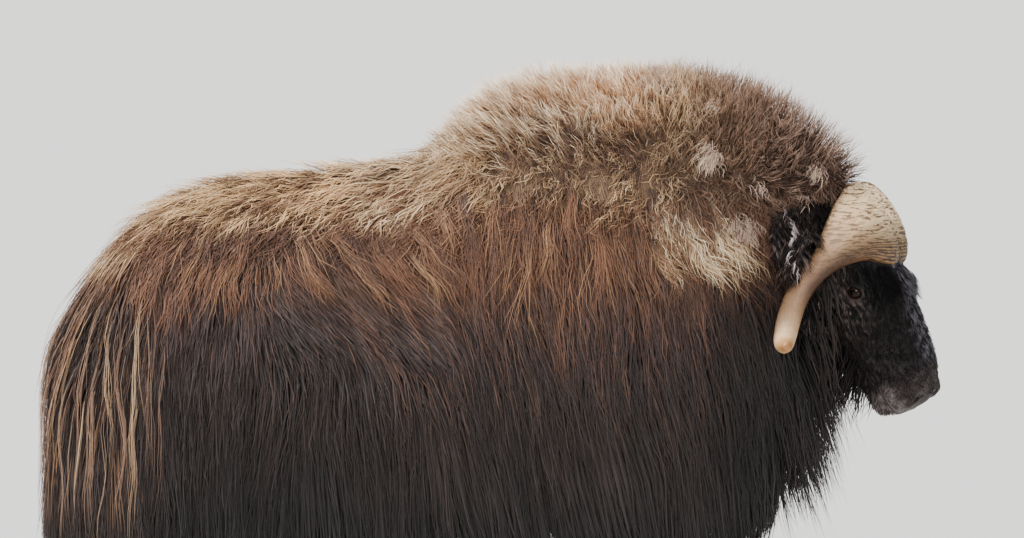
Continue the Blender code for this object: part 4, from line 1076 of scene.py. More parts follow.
def strands(name, ways, faces, widths, tints, lots, unwrapped, finish):
    """One mesh of solid strands, three-sided and tapered, one for each way."""
    number, rings = ways.shape[0], ways.shape[1] - 1
    run = np.linalg.norm(np.diff(ways, axis=1), axis=2).cumsum(1)
    run = np.concatenate([np.zeros((number, 1)), run], 1)
    tangent = unit(np.gradient(ways, axis=1))
    across = unit(np.cross(tangent, faces))
    up = np.cross(across, tangent)
    share = np.linspace(0, 1, rings + 1)[:-1]
    taper = np.interp(share, [0, 0.25, 0.6, 1], [0.7, 1.0, 0.8, 0.15])
    half = widths[:, None] * taper
    middle = ways[:, :-1]
    side = across[:, :-1] * half[..., None]
    ridge = up[:, :-1] * (half * RIDGE)[..., None]
    body = np.stack([middle - side - ridge * 0.4, middle + side - ridge * 0.4, middle + ridge], 2)
    verts = np.concatenate([body.reshape(number, -1, 3), ways[:, -1:]], 1)
    per = rings * 3 + 1
    quads = []
    for ring in range(rings - 1):
        a = ring * 3
        quads += [(a, a + 1, a + 4, a + 3), (a + 1, a + 2, a + 5, a + 4), (a + 2, a, a + 3, a + 5)]
    a = (rings - 1) * 3
    caps = [(a, a + 1, a + 3), (a + 1, a + 2, a + 3), (a + 2, a, a + 3), (0, 2, 1)]
    first = (np.arange(number) * per)[:, None]
    quad_corners = (first + np.array(quads).ravel()).reshape(number, -1)
    cap_corners = (first + np.array(caps).ravel()).reshape(number, -1)
    loops = np.concatenate([quad_corners, cap_corners], 1).ravel()
    sizes = np.tile([4] * len(quads) + [3] * len(caps), number)
    mesh = bpy.data.meshes.new(name)
    mesh.vertices.add(number * per)
    mesh.vertices.foreach_set("co", verts.astype(np.float32).ravel())
    mesh.loops.add(len(loops))
    mesh.loops.foreach_set("vertex_index", loops.astype(np.int32))
    mesh.polygons.add(len(sizes))
    mesh.polygons.foreach_set("loop_start", np.concatenate([[0], sizes.cumsum()[:-1]]).astype(np.int32))
    mesh.update(calc_edges=True)
    mesh.shade_smooth()
    tip_tint = np.concatenate([np.repeat(tints[:, :-1], 3, 1), tints[:, -1:]], 1)
    note(mesh, "tint", np.concatenate([tip_tint, np.ones((number, per, 1))], 2).reshape(-1, 4))
    aside = np.concatenate([np.tile([-1.0, 1.0, 0.0], rings), [0.0]]) * np.ones((number, 1))
    reach = np.concatenate([np.repeat(run[:, :-1], 3, 1), run[:, -1:]], 1)
    own = lots[:, None] * np.ones((1, per))
    note(mesh, "lie", np.stack([aside + 40 * own, reach, own], 2).reshape(-1, 3))
    part_way = np.concatenate([np.repeat(share, 3), [1.0]])
    spots = unwrapped[:, None] + PATCH * np.stack([aside, (2 * part_way - 1) * np.ones((number, 1))], 2)
    unwrap = mesh.uv_layers.new(name="OFBake")
    unwrap.data.foreach_set("uv", spots.reshape(-1, 2)[loops].astype(np.float32).ravel())
    made = bpy.data.objects.new(name, mesh)
    bpy.context.scene.collection.objects.link(made)
    mesh.materials.append(finish)
    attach(made, "root")
    total_triangles.append((name, number * (len(quads) * 2 + len(caps))))
    return made


total_triangles = []


def grown(
    name, slot, finish, zone, flow, lengths, count, guides, rings, width, seed, clump=0.5, wave=(0.0, 0.1, 0.0),
    settle=None, depth=(0.0, 0.01), stray=0.05, part=HIDE_PART, keep=None, floor=None, tint=None, short=0.7,
    gather=None,
):
    """One piece of coat: guide hairs are laid, and each strand follows the guides next to it."""
    draw = np.random.default_rng(seed)
    guide_roots, guide_outs = rooted(zone, guides, draw, part)
    roots, outs = rooted(zone, count, draw, part)
    if keep:
        roots, outs = (rows[keep(roots)] for rows in (roots, outs))
        guide_roots, guide_outs = (rows[keep(guide_roots)] for rows in (guide_roots, guide_outs))
    guide_lengths = lengths(guide_roots - np.array(shift), draw.random(len(guide_roots)))
    folds = 0.5 + 0.5 * ripple(guide_roots * np.array([1, 1, 0.22]), 0.11, seed + 500)
    guide_depth = depth[0] + (depth[1] - depth[0]) * (0.55 * folds + 0.45 * draw.random(len(guide_roots)))
    steps = max(rings * 2, 6)
    ways, faces = laid(guide_roots, guide_outs, guide_lengths, flow, steps, settle, guide_depth)
    near = KDTree(len(guide_roots))
    for i, point in enumerate(guide_roots):
        near.insert(point, i)
    near.balance()
    found = [near.find_n(point, 2) for point in roots]
    one = np.array([f[0][1] for f in found])
    two = np.array([f[1][1] for f in found])
    lean = draw.uniform(0.0, 0.5, len(roots))[:, None, None]
    if gather:
        lean = lean * 0
        spread = draw.normal(0, gather, (len(roots), 3))
        roots = guide_roots[one] + spread - faces[one, 0] * (spread * faces[one, 0]).sum(1, keepdims=True)
    t = np.linspace(0, 1, rings + 1)
    reach = draw.uniform(short, 1.0, len(roots))[:, None]
    at = np.clip(t * reach * steps, 0, steps - 1e-6)
    low = at.astype(int)
    part_way = (at - low)[..., None]

    def followed(rows, guide):
        return rows[guide[:, None], low] * (1 - part_way) + rows[guide[:, None], low + 1] * part_way

    way = followed(ways, one) * (1 - lean) + followed(ways, two) * lean
    face = unit(followed(faces, one) * (1 - lean) + followed(faces, two) * lean)
    offset = roots[:, None] - way[:, :1]
    drawn_in = 1 - clump * (t**1.2)[None, :, None]
    way = way + offset * drawn_in
    tangent = unit(np.gradient(way, axis=1))
    across = unit(np.cross(tangent, face))
    lots = draw.random(len(roots))
    tones = draw.random(len(guide_roots))[one]
    amplitude, wave_length, roll = wave
    run = np.linalg.norm(np.diff(way, axis=1), axis=2).cumsum(1)
    run = np.concatenate([np.zeros((len(roots), 1)), run], 1)
    phase = draw.random(len(guide_roots))[one] + 0.22 * draw.random(len(roots))
    lengthened = draw.uniform(0.8, 1.25, len(guide_roots))[one] * wave_length
    turn = 2 * math.pi * (run / lengthened[:, None] + phase[:, None])
    swing = amplitude * fade(t, 0.0, 0.5)[None, :] * draw.uniform(0.5, 1.3, len(roots))[:, None]
    begin = np.sin(turn[:, :1]), np.cos(turn[:, :1])
    way = way + across * (swing * (np.sin(turn) - begin[0] * (1 - t)))[..., None]
    way = way + face * (roll * swing * (np.cos(turn) - begin[1] * (1 - t)))[..., None]
    aside = draw.normal(0, stray, len(roots))[:, None] * run * t
    rise = np.abs(draw.normal(0, stray * 0.5, len(roots)))[:, None] * run * t
    way = way + across * aside[..., None] + face * rise[..., None]
    if floor is not None:
        limit = floor + draw.uniform(0.0, 0.04, len(roots)) + shift.z
        way[..., 2] = np.maximum(way[..., 2], limit[:, None] + 0.02 * (1 - t))
    over = np.maximum(way[..., 2] - TRIM_HEIGHT, 0.0)
    way[..., 2] -= over - TRIM_REACH * np.tanh(over / TRIM_REACH)
    widths = width * draw.uniform(0.6, 1.25, len(roots))
    share = np.ones((len(roots), 1)) * t
    whole = np.ones_like(share)
    if tint:
        tints = tint(tones[:, None] * whole, lots[:, None] * whole, share)
    elif part == HIDE_PART:
        tints, legs = body_tint(way, tones[:, None] * whole, lots[:, None] * whole, share)
        if slot == "leg_fur":
            tints = mixed(tints, BONE, legs)
    else:
        tints = head_tint(way, lots[:, None] * whole, share)
    unwrapped = body_unwrap(roots) if part == HIDE_PART else head_unwrap(roots)
    # Every strand is darker towards its root: partly its own colour and bleached tips, partly painted shade deep in
    # the coat.
    tints = tints * (0.62 + 0.45 * fade(share, 0.0, 0.6))[..., None]
    made = strands(name, way, face, widths, tints, lots, unwrapped, finish)
    return made


long_finish = coat_finish("long_hair", 0.28, 0.45)


def side_zone(sign):
    """Where flank hair grows on one side."""

    def zone(spot, out):
        x, z = spot[:, 0], spot[:, 2]
        ends = fade(x, -0.86, -0.72) * (1 - fade(x, 0.46, 0.64))
        return ends * fade(z, 0.50, 0.56) * (1 - fade(z, 1.10, 1.20)) * (spot[:, 1] * sign > 0)

    return zone


def flank_flow(spot, out, share):
    """Down, swept forwards behind the shoulder and a little forwards on it, and wavering."""
    x, z = spot[:, 0], spot[:, 2]
    swept = 0.75 * between(x, -0.50, -0.08, 0.09) * between(z, 0.74, 1.02, 0.07)
    lean = -0.04 + 0.22 * fade(x, -0.50, -0.10) + swept + 0.16 * ripple(spot, 0.30, 31)
    lean = lean - 0.5 * (1 - fade(x, -0.55, -0.40)) * fade(z, 0.96, 1.08)
    return np.stack([lean, np.zeros(len(spot)), -np.ones(len(spot))], 1)


def flank_length(spot, lot):
    """Hair that lengthens towards the belly."""
    return (0.19 + 0.10 * (1 - fade(spot[:, 2], 0.6, 1.1))) * (0.75 + 0.5 * lot)


for side, sign, amount, rings, width in (("left", 1, 3200, 3, 0.0032), ("right", -1, 4500, 4, 0.0023)):
    for layer in range(2):
        grown(
            f"flank_coat_{side}_{layer + 1}", "long_coat", long_finish, side_zone(sign), hung(flank_flow),
            flank_length, count=amount, guides=950, rings=rings, width=width, seed=40 + layer * 2 + sign,
            clump=0.60, wave=(0.0055, 0.085, 0.5), settle=0.09, depth=(-0.006, 0.020), stray=0.05,
        )

# Skirt
# The longest hair, from the belly's edge to below the knees, near black at the ragged hem.
def skirt_zone(spot, out):
    """The lowest part of the sides, all along the body."""
    lengthways = fade(spot[:, 0], -1.09, -1.02) * (1 - fade(spot[:, 0], 0.55, 0.66))
    return lengthways * between(spot[:, 2], 0.52, 0.72, 0.04) * fade(np.abs(spot[:, 1]), 0.14, 0.22)


grown(
    "skirt", "long_coat", long_finish, skirt_zone, hung(flank_flow),
    lambda spot, lot: np.maximum(spot[:, 2] - 0.21, 0.1) * (1.00 + 0.18 * lot), count=4400, guides=750,
    rings=4, width=0.0036, seed=50, clump=0.4, wave=(0.007, 0.12, 0.5), settle=0.10, depth=(0.0, 0.030),
    stray=0.04, floor=0.195, short=0.92,
)

# Rump coat
# Coarse long hair that falls over the hindquarters and the tail, with long blond streaks.
def rump_zone(spot, out):
    """The hindquarters, from the loin back."""
    return (1 - fade(spot[:, 0], -0.82, -0.64)) * fade(spot[:, 2], 0.50, 0.56) * (2.2 - 1.2 * fade(spot[:, 2], 0.56, 0.74))


def rump_flow(spot, out, share):
    """Back over the loin, then straight down."""
    back = -0.5 * fade(spot[:, 2], 0.85, 1.1) + 0.14 * ripple(spot, 0.3, 32)
    aside = 0.35 * np.sign(spot[:, 1]) * fade(np.abs(spot[:, 1]), 0.0, 0.1) * fade(spot[:, 2], 0.7, 1.1)
    return np.stack([back, aside, -np.ones(len(spot))], 1)


grown(
    "rump_coat", "long_coat", long_finish, rump_zone, hung(rump_flow),
    lambda spot, lot: np.minimum(0.22 + 0.16 * lot + 0.16 * (1 - fade(spot[:, 2], 0.60, 0.76)), spot[:, 2] - 0.20), count=4500, guides=800, rings=4,
    width=0.0025, seed=60, clump=0.6, wave=(0.005, 0.11, 0.5), settle=0.08, depth=(-0.002, 0.024), stray=0.06,
    floor=0.195,
)


def streak_zone(spot, out):
    """The upper hindquarters, where the blond locks are rooted."""
    return (1 - fade(spot[:, 0], -0.86, -0.70)) * between(spot[:, 2], 0.66, 0.96, 0.05)


def streak_tint(tone, lot, share):
    """Blond, tan and cream locks, brown at the root and duller at the tip."""
    dull = mixed(UMBER * 1.4, mixed(TAN, FAWN, 0.6), fade(tone, 0.0, 0.45))
    colour = mixed(dull, mixed(GOLD, CREAM, 0.05 + 0.75 * lot * lot), fade(tone, 0.58, 1.05))
    return mixed(colour, RUSSET, 0.4 * fade(share, 0.7, 1.0) + 0.8 * (1 - fade(share, 0.0, 0.40)))


def streak_flow(spot, out, share):
    """Down, with each lock a little askew."""
    back = 0.24 * ripple(spot, 0.08, 44) + 0.10 * ripple(spot, 0.3, 57)
    return np.stack([back, np.zeros(len(spot)), -np.ones(len(spot))], 1)


grown(
    "rump_streaks", "long_coat", long_finish, streak_zone, hung(streak_flow),
    lambda spot, lot: np.minimum(0.30 + 0.40 * lot, spot[:, 2] - 0.25), count=330, guides=165, rings=8,
    width=0.0008, seed=67, clump=0.15, wave=(0.006, 0.30, 0.5), settle=0.05, depth=(-0.012, 0.002), stray=0.020,
    floor=0.225, tint=streak_tint, gather=0.0013,
)

# Saddle
# Paler, shorter, sun-bleached hair on the back, laid back and outwards.
def saddle_zone(spot, out):
    """The back behind the hump, down to the top of the flank."""
    return fade(spot[:, 0], -0.92, -0.78) * (1 - fade(spot[:, 0], -0.06, 0.06)) * fade(spot[:, 2], 0.99, 1.07)


def saddle_flow(spot, out, share):
    """Back and outwards over the back."""
    aside = 0.50 * np.sign(spot[:, 1]) * fade(np.abs(spot[:, 1]), 0.0, 0.08)
    drop = -0.20 - 0.9 * (1 - fade(spot[:, 2], 1.02, 1.14)) - 0.5 * share
    return np.stack([-0.95 + 0.40 * ripple(spot, 0.16, 33), aside, drop], 1)


grown(
    "saddle_coat", "long_coat", long_finish, saddle_zone, hung(saddle_flow),
    lambda spot, lot: 0.09 + 0.09 * lot, count=6300, guides=1000, rings=4, width=0.0017, seed=70, clump=0.6,
    wave=(0.007, 0.060, 0.8), settle=0.05, depth=(-0.014, 0.012), stray=0.15,
)

# Fringe of the saddle
# Long wavy locks, gold at the tips, that hang from the saddle and the hump over the dark flank.
def fringe_zone(spot, out):
    """A band along the lower edge of the saddle and the hump."""
    middle = 1.035 + 0.085 * fade(spot[:, 0], -0.25, 0.0) - 0.09 * (1 - fade(spot[:, 0], -0.85, -0.6))
    lengthways = fade(spot[:, 0], -0.86, -0.66) * (1 - fade(spot[:, 0], 0.22, 0.46))
    return lengthways * between(spot[:, 2] - middle, -0.065, 0.055, 0.04) * (1 - 0.45 * fade(spot[:, 0], 0.04, 0.22))


def fringe_flow(spot, out, share):
    """Down in loose waves, swept forwards under the dip of the back."""
    swept = 0.65 * between(spot[:, 0], -0.46, -0.08, 0.10)
    lean = swept + 0.30 * ripple(spot, 0.13, 53) - 0.15 * (1 - fade(spot[:, 0], -0.7, -0.4))
    return np.stack([lean, np.zeros(len(spot)), -np.ones(len(spot))], 1)


def fringe_tint(tone, lot, share):
    """Russet to gold locks, brown at the root."""
    pale = mixed(RUSSET * 1.15, GOLD * 0.88, lot)
    colour = mixed(mixed(UMBER * 1.1, RUSSET * 1.2, fade(tone, 0.1, 0.5)), pale, fade(tone, 0.60, 1.0))
    return mixed(UMBER + 0 * colour, colour, 0.25 + 0.75 * fade(share, 0.0, 0.45))


grown(
    "fringe_locks", "long_coat", long_finish, fringe_zone, hung(fringe_flow),
    lambda spot, lot: 0.12 + 0.16 * lot + 0.08 * fade(spot[:, 0], -0.3, 0.1), count=2400, guides=400, rings=6,
    width=0.0009, seed=74, clump=0.25, wave=(0.004, 0.10, 0.7), settle=0.05, depth=(-0.014, 0.002), stray=0.11,
    tint=fringe_tint, gather=0.007,
)

# Hump and shoulder wool
# Dense woolly hair that stands up and back over the shoulders, matted into curls below.
wool_finish = coat_finish("wool_hair", 0.25, 0.55)


def crest_zone(spot, out):
    """The top of the hump."""
    return fade(spot[:, 0], -0.20, -0.08) * (1 - fade(spot[:, 0], 0.60, 0.74)) * fade(spot[:, 2], 1.14, 1.27)


def crest_flow(spot, out, share):
    """Up and back behind the crest, straight out before it."""
    back = (-0.62 + 0.52 * fade(spot[:, 0], 0.0, 0.5))[:, None] * np.array([1.0, 0.0, 0.0])
    waver = np.stack([ripple(spot, 0.075, s) for s in (34, 35, 36)], 1)
    return out * (0.95 - 0.3 * share) + back + np.array([0, 0, 0.30 - 0.4 * share]) + 0.50 * waver


def crest_length(spot, lot):
    """Longest where the crest rises from the back."""
    rise = between(spot[:, 0], -0.02, 0.24, 0.10)
    top = between(spot[:, 0], 0.28, 0.50, 0.04)
    return (0.045 + 0.036 * lot + 0.028 * rise + 0.012 * top) * (1 - 0.20 * fade(spot[:, 2], 1.35, 1.41))


grown(
    "hump_crest", "shoulder_wool", wool_finish, crest_zone, crest_flow, crest_length, count=11000,
    guides=2500, rings=3, width=0.0009, seed=80, clump=0.30, wave=(0.005, 0.045, 0.9), stray=0.20,
)


def curl_zone(spot, out):
    """The shoulders under the crest."""
    return fade(spot[:, 0], -0.20, -0.08) * (1 - fade(spot[:, 0], 0.56, 0.70)) * between(spot[:, 2], 1.07, 1.27, 0.05)


def curl_flow(spot, out, share):
    """Outwards, then down, in every direction by turns."""
    waver = np.stack([ripple(spot, 0.08, s) for s in (45, 46, 47)], 1)
    return out * (0.55 - 0.6 * share) + np.array([-0.25, 0.0, -0.75]) + 0.65 * waver


grown(
    "shoulder_curls", "shoulder_wool", wool_finish, curl_zone, curl_flow, lambda spot, lot: 0.055 + 0.045 * lot,
    count=4100, guides=800, rings=4, width=0.0014, seed=82, clump=0.6, wave=(0.009, 0.038, 0.9), stray=0.18,
)

# Neck and brow wool
# Frizzy dark wool from the withers to the horns, with pale wavy locks on the sides.
def neck_zone(spot, out):
    """The neck, its sides and the brow behind the horns."""
    high = fade(spot[:, 0], 0.54, 0.66) * fade(spot[:, 2], 1.02, 1.12) * 1.9
    sides = fade(spot[:, 0], 0.40, 0.50) * fade(spot[:, 2], 0.78, 0.86)
    return np.maximum(high, sides)


def by_cheek(spot):
    """How much each place lies beside the cheek, where the hair is short."""
    return fade(spot[..., 0], 0.69, 0.75) * (1 - fade(spot[..., 2], 0.92, 1.00))


def neck_flow(spot, out, share):
    """Out and up on top, hanging in waves at the sides."""
    top = fade(spot[:, 2], 1.08, 1.22)[:, None]
    waver = np.stack([ripple(spot, 0.08, s) for s in (37, 38, 39)], 1)
    hang = out * (0.25 - 0.25 * share) + np.array([0.10, 0.0, -1.0])
    return (out * 1.0 + np.array([-0.10, 0, 0.25])) * top + hang * (1 - top) + 0.38 * waver


grown(
    "neck_wool", "shoulder_wool", wool_finish, neck_zone, neck_flow,
    lambda spot, lot: ((0.055 + 0.030 * lot) + 0.05 * (1 - fade(spot[:, 2], 1.02, 1.15))) * (1 - 0.6 * by_cheek(spot)), count=9700, guides=2500,
    rings=3, width=0.0010, seed=90, clump=0.12, wave=(0.008, 0.032, 0.9), stray=0.32, keep=clear_of_horns,
)


def collar_zone(spot, out):
    """A band on each side of the neck, behind the ear."""
    return between(spot[:, 0], 0.35, 0.55, 0.03) * between(spot[:, 2], 1.06, 1.15, 0.02)


def collar_tint(tone, lot, share):
    """Cream and pale gold, brown at the root."""
    pale = mixed(mixed(RUSSET * 0.9, GOLD, lot), mixed(GOLD, CREAM * 1.25, fade(lot, 0.05, 0.6)), fade(tone, 0.32, 0.60))
    return mixed(UMBER * 1.2 + 0 * pale, pale, fade(share, 0.22, 0.70))


def collar_flow(spot, out, share):
    """Forwards and down, each lock askew."""
    waver = np.stack([ripple(spot, 0.09, s) for s in (48, 49, 50)], 1)
    return out * (0.32 - 0.32 * share) + np.array([0.46, 0.0, -0.9]) + 0.28 * waver


grown(
    "collar_locks", "shoulder_wool", wool_finish, collar_zone, collar_flow, lambda spot, lot: 0.13 + 0.12 * lot,
    count=1900, guides=170, rings=6, width=0.0010, seed=94, clump=0.45, wave=(0.009, 0.065, 0.9), stray=0.12,
    tint=collar_tint, gather=0.0045, keep=clear_of_horns,
)

# Shed wool
# Pale tufts of loose underwool that have worked out of the coat on the near side.
# Each tuft: x, height, reach, how far its wool stands out
SHED_TUFTS = (
    (0.522, 1.210, 0.018, 0.105),
    (0.772, 1.183, 0.009, 0.090),
    (0.415, 1.385, 0.026, 0.070),
    (0.751, 1.114, 0.007, 0.085),
    (0.636, 1.142, 0.007, 0.090),
    (0.535, 1.318, 0.008, 0.085),
    (0.600, 1.052, 0.019, 0.070),
)


def shed_reach(spot):
    """How much each place belongs to each tuft."""
    rows = np.array(SHED_TUFTS)
    away = np.hypot(spot[:, :1] - rows[:, 0], spot[:, 2:3] - rows[:, 1])
    return np.exp(-((away / rows[:, 2]) ** 2))


def shed_zone(spot, out):
    """The places of the tufts on the right side."""
    return shed_reach(spot).max(1) * fade(-spot[:, 1], 0.0, 0.05)


def shed_flow(spot, out, share):
    """Out through the coat, then curled every way."""
    waver = np.stack([ripple(spot, 0.035, s) for s in (54, 55, 56)], 1)
    return out * (1.3 - 1.2 * share) + np.array([-0.35, 0.0, -0.9]) * share + (0.1 + 0.3 * share) * waver


grown(
    "shed_wool", "shoulder_wool", wool_finish, shed_zone, shed_flow,
    lambda spot, lot: np.array(SHED_TUFTS)[shed_reach(spot).argmax(1), 3] * (0.8 + 0.3 * lot), count=1150,
    guides=160, rings=4, width=0.0008, seed=96, clump=0.1, wave=(0.003, 0.024, 1.0), stray=0.12, short=0.8,
    tint=lambda tone, lot, share: mixed(np.array((0.50, 0.34, 0.28)) + 0 * share[..., None], CREAM * 0.9, lot * fade(tone, 0.2, 0.7)),
    gather=0.009, keep=clear_of_horns,
)

# Throat and chest mane
# Long dark hair that hangs from the throat and chest behind the head.
def mane_zone(spot, out):
    """The throat and the front of the chest."""
    cheek = fade(spot[:, 0], 0.68, 0.74) * fade(spot[:, 2], 0.74, 0.80)
    return fade(spot[:, 0], 0.50, 0.60) * (1 - fade(spot[:, 2], 0.84, 0.96)) * fade(spot[:, 2], 0.46, 0.52) * (1 - cheek)


grown(
    "chest_mane", "long_coat", long_finish, mane_zone, hung(flank_flow),
    lambda spot, lot: np.minimum(0.20 + 0.14 * lot, spot[:, 2] - 0.25), count=2200, guides=450, rings=4,
    width=0.0029, seed=100, clump=0.6, wave=(0.006, 0.10, 0.5), settle=0.08, depth=(-0.006, 0.02), stray=0.06,
    floor=0.245,
)


def throat_zone(spot, out):
    """The underside of the neck, behind the jaw."""
    cheek = fade(np.abs(spot[:, 1] + NECK_BEND), 0.09, 0.13) * fade(spot[:, 2], 0.74, 0.80)
    return fade(spot[:, 0], 0.64, 0.70) * (1 - fade(spot[:, 2], 0.98, 1.06)) * fade(out[:, 0], 0.1, 0.4) * (1 - cheek)


def throat_flow(spot, out, share):
    """Forwards at first, then down."""
    return out * (0.30 - 0.3 * share) + np.array([0.16, 0.0, -1.0]) + 0.1 * ripple(spot, 0.15, 51)[:, None]


grown(
    "throat_mane", "long_coat", long_finish, throat_zone, throat_flow, lambda spot, lot: 0.24 + 0.14 * lot,
    count=1100, guides=240, rings=5, width=0.0026, seed=104, clump=0.6, wave=(0.007, 0.10, 0.7), stray=0.08,
    tint=lambda tone, lot, share: mixed(BLACK * 1.2 + 0 * share[..., None], PLUM, fade(lot, 0.7, 1.0) * share),
)

# Face fur
# Short dark hair that lies down the nose and cheeks, longest on the cheeks and the jaw.
short_finish = coat_finish("short_hair", 0.35, 0.48, 0.09)


def face_zone(spot, out):
    """All of the head but the eyes, the nostrils, the nose's tip and the edges of the lips."""
    place = head_spot(spot + np.array(shift))
    eyes = np.ones(len(spot))
    for sign in (1, -1):
        eyes *= np.linalg.norm(place - np.array((EYE_PLACE.x, EYE_PLACE.y * sign, EYE_PLACE.z)), axis=1) > 0.028
    bare = fade(place[:, 0], 0.500, 0.512)
    for where, radii, _ in HOLLOWS:
        aside = np.abs(place[:, 1]) - where[1]
        near = np.hypot(place[:, 0] - where[0], np.hypot(aside, place[:, 2] - where[2]))
        bare = np.maximum(bare, 1 - fade(near, 0.011, 0.016))
    slit = np.interp(place[:, 0], [row[0] for row in MOUTH_LINE], [row[1] for row in MOUTH_LINE])
    lips = (1 - fade(np.abs(place[:, 2] - slit), 0.004, 0.008)) * (place[:, 0] > MOUTH_LINE[0][0])
    grows = 1 - 0.999 * np.maximum(bare, lips)
    return eyes * grows * (1 + fade(place[:, 0], 0.12, 0.3) + 0.8 * fade(place[:, 0], 0.42, 0.46))


def face_flow(spot, out, share):
    """Down the nose, close to the skin."""
    place = head_spot(spot + np.array(shift))
    way = np.stack([np.ones(len(spot)), 0.2 * np.sign(place[:, 1]), -0.25 * np.ones(len(spot))], 1) @ head_turn.T
    way = way + np.array([0, 0, -0.35]) + 0.45 * np.stack([ripple(spot, 0.05, s) for s in (41, 42, 43)], 1)
    way = way - out * (way * out).sum(-1, keepdims=True)
    return unit(way) + out * (0.42 - 0.36 * share)


def face_length(spot, lot):
    """Short on the nose, longer on the cheeks and under the jaw."""
    place = head_spot(spot + np.array(shift))
    low = 1 - fade(place[:, 2], -0.16, -0.09)
    back = 1 - fade(place[:, 0], 0.14, 0.30)
    tip = fade(place[:, 0], 0.36, 0.47)
    place[:, 1] = np.abs(place[:, 1])
    near_eye = 0.35 + 0.65 * fade(np.linalg.norm(place - np.array(EYE_PLACE), axis=1), 0.028, 0.060)
    end = 1 - 0.45 * fade(place[:, 0], 0.43, 0.48)
    return (0.020 + 0.020 * back + 0.016 * low - 0.010 * tip) * (0.75 + 0.5 * lot) * near_eye * end


for layer in range(2):
    grown(
        f"face_fur_{layer + 1}", "face_fur", short_finish, face_zone, face_flow, face_length, count=4800,
        guides=1500, rings=2, width=0.0012, seed=110 + layer, clump=0.5, wave=(0.002, 0.03, 0.5), stray=0.14,
        part=HEAD_PART, keep=clear_of_horns,
    )


def forelock_zone(spot, out):
    """The brow just below the horns."""
    place = head_spot(spot + np.array(shift))
    return between(place[:, 0], 0.17, 0.24, 0.02) * fade(place[:, 2], 0.0, 0.03) * (np.abs(place[:, 1]) < 0.08)


def forelock_flow(spot, out, share):
    """Out from under the boss and down the nose."""
    way = np.array([1.0, 0.0, 0.0]) @ head_turn.T
    return way + out * (0.32 - 0.42 * share) + 0.20 * ripple(spot, 0.05, 52)[:, None]


grown(
    "forelock", "face_fur", short_finish, forelock_zone, forelock_flow, lambda spot, lot: 0.035 + 0.035 * lot,
    count=900, guides=200, rings=4, width=0.0012, seed=116, clump=0.5, wave=(0.003, 0.04, 0.6), stray=0.12,
    part=HEAD_PART, keep=clear_of_horns,
)

# Beard
# Long dark hair that hangs from the jaw and throat.
def beard_zone(spot, out):
    """The underside of the jaw, behind the chin."""
    place = head_spot(spot + np.array(shift))
    return (1 - fade(place[:, 2], -0.17, -0.10)) * between(place[:, 0], 0.02, 0.38, 0.03)


def beard_flow(spot, out, share):
    """Back along the jaw and down."""
    return out * (0.4 - 0.4 * share) + np.array([-0.12, 0, -1.0]) * (0.5 + share)


grown(
    "beard", "face_fur", short_finish, beard_zone, beard_flow, lambda spot, lot: 0.10 + 0.09 * lot, count=1300,
    guides=260, rings=4, width=0.0020, seed=120, clump=0.6, wave=(0.005, 0.07, 0.7), stray=0.10, part=HEAD_PART,
)

# Ear fur
# Black hair on the ears with long ash streaks that hang from the cup.
def ear_flow(spot, out, share):
    """Along the ear and down."""
    way = np.array([0.35, 0.0, -0.1]) @ head_turn.T + np.array([-0.1, 0, -0.6])
    return way * np.ones((len(spot), 1)) + out * (1.0 - 0.6 * share)


grown(
    "ear_fur", "face_fur", short_finish, lambda spot, out: np.ones(len(spot)), ear_flow,
    lambda spot, lot: 0.038 + 0.034 * lot, count=2700, guides=460, rings=3, width=0.0012, seed=130,
    clump=0.45, wave=(0.002, 0.03, 0.5), stray=0.20, part=EAR_PART,
)


# The pale streak down the ear's cup: how far forward it lies at each height, seen from the side
STREAK_LINE = np.array(((0.930, 0.743), (0.968, 0.733), (1.004, 0.735), (1.040, 0.722), (1.080, 0.712)))
SIDEWAYS = np.array((0.4289, -0.4067, 0.8066))
UPWARDS = np.array((-0.8829, 0.0, 0.4695))


def cup_zone(spot, out):
    """A narrow line down the middle of each ear's cup."""
    place = head_spot(spot + np.array(shift))
    facing = (out @ head_turn)[:, 1] * np.sign(place[:, 1])
    place[:, 1] = np.abs(place[:, 1])
    forward = HEAD_PLACE.x + place @ SIDEWAYS
    height = HEAD_PLACE.z + place @ UPWARDS
    line = np.interp(height, STREAK_LINE[:, 0], STREAK_LINE[:, 1])
    return (np.abs(forward - line) < 0.0028) * (facing > 0.1) * between(height, 0.952, 1.088, 0.004)


grown(
    "ear_streaks", "face_fur", short_finish, cup_zone,
    lambda spot, out, share: out * (1.3 - 1.7 * share) + np.array([0.04, 0, -1.3]) * (0.15 + share),
    lambda spot, lot: 0.058 + 0.016 * lot,
    count=150, guides=34, rings=5, width=0.0007, seed=134, clump=0.3, wave=(0.003, 0.03, 0.5), stray=0.08,
    part=EAR_PART, gather=0.0016,
    tint=lambda tone, lot, share: mixed(ASH * 1.6 + 0 * share[..., None], ASH * 4.0, lot),
)

# Leg fur
# Short pale hair that lies down the legs to the hooves.
def leg_zone(spot, out):
    """The legs below the belly."""
    return (1 - fade(spot[:, 2], 0.44, 0.50)) * fade(spot[:, 2], 0.062, 0.075)


def leg_flow(spot, out, share):
    """Down the leg, close to the skin."""
    down = np.array([-0.1, 0, -1.0]) * np.ones((len(spot), 1))
    return down - out * (down * out).sum(-1, keepdims=True) + out * (0.25 - 0.2 * share)


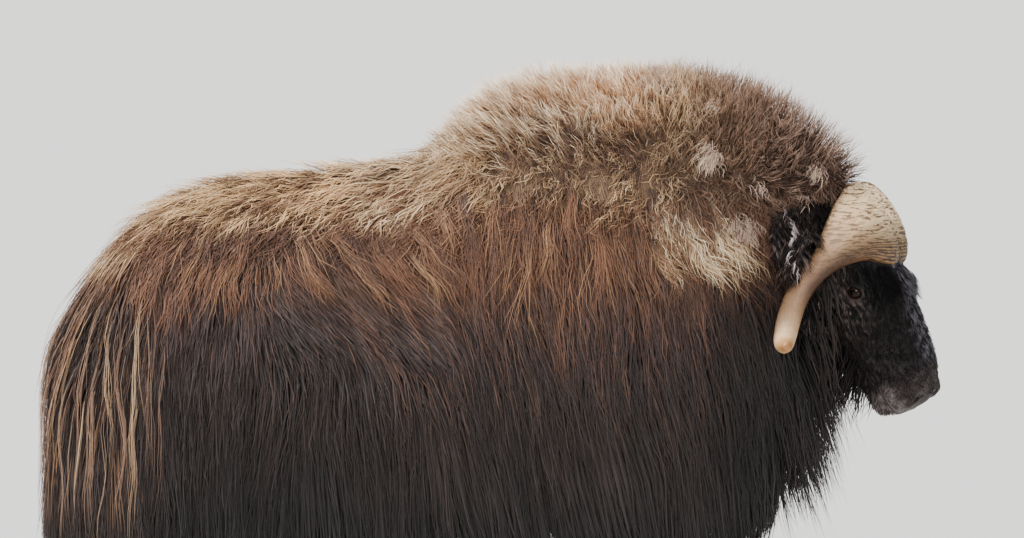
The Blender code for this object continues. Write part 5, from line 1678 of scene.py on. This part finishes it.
grown(
    "leg_fur", "leg_fur", short_finish, leg_zone, leg_flow,
    lambda spot, lot: np.minimum(0.018 + 0.014 * lot, np.maximum(spot[:, 2] - 0.05, 0.01)), count=3000,
    guides=1000, rings=2, width=0.0018, seed=140, clump=0.4, wave=(0.001, 0.03, 0.3), stray=0.08,
)

# Floor
# A plain pale studio floor that reaches far past the view.
FLOOR_REACH = 900.0
shape = bmesh.new()
bmesh.ops.create_grid(shape, x_segments=1, y_segments=1, size=FLOOR_REACH)
floor_sheet = piece("floor", shape, smooth=False)
floor_finish = bpy.data.materials.new("floor")
tree, surface, add = nodes_of(floor_finish)
surface.inputs["Base Color"].default_value = (0.66, 0.65, 0.63, 1)
surface.inputs["Roughness"].default_value = 0.8
floor_sheet.data.materials.append(floor_finish)

# Lights and camera
# A soft key from high behind the left, a soft fill from the camera's side and a pale sky.
for name, strength, spread, way in (
    ("key", 6.5, 10.0, Vector((-0.50, 0.02, 1.0))),
    ("fill", 1.36, 14.0, Vector((-0.10, -1.0, 0.50))),
):
    light = bpy.data.lights.new(name, "SUN")
    light.energy = strength
    light.angle = math.radians(spread)
    lamp = bpy.data.objects.new(name, light)
    lamp.rotation_euler = way.to_track_quat("Z", "Y").to_euler()
    bpy.context.scene.collection.objects.link(lamp)
world = bpy.data.worlds.new("studio")
world.use_nodes = True
world.node_tree.nodes["Background"].inputs["Color"].default_value = (0.95, 0.97, 1.0, 1)
world.node_tree.nodes["Background"].inputs["Strength"].default_value = 0.6
bpy.context.scene.world = world

VIEW_WIDTH = 2.485
VIEW_DISTANCE = 14.0
VIEW_AIM = Vector((0.058, 0.0, 0.942)) + shift
VIEW_RISE = math.radians(3.0)
lens = bpy.data.cameras.new("camera")
lens.sensor_width = 36.0
lens.lens = 36.0 * VIEW_DISTANCE / VIEW_WIDTH
lens.clip_end = 2000.0
viewer = bpy.data.objects.new("camera", lens)
viewer.location = VIEW_AIM + VIEW_DISTANCE * Vector((0, -math.cos(VIEW_RISE), math.sin(VIEW_RISE)))
viewer.rotation_euler = (math.pi / 2 - VIEW_RISE, 0, 0)
bpy.context.scene.collection.objects.link(viewer)
bpy.context.scene.camera = viewer

print("coat", sum(n for _, n in total_triangles), total_triangles)
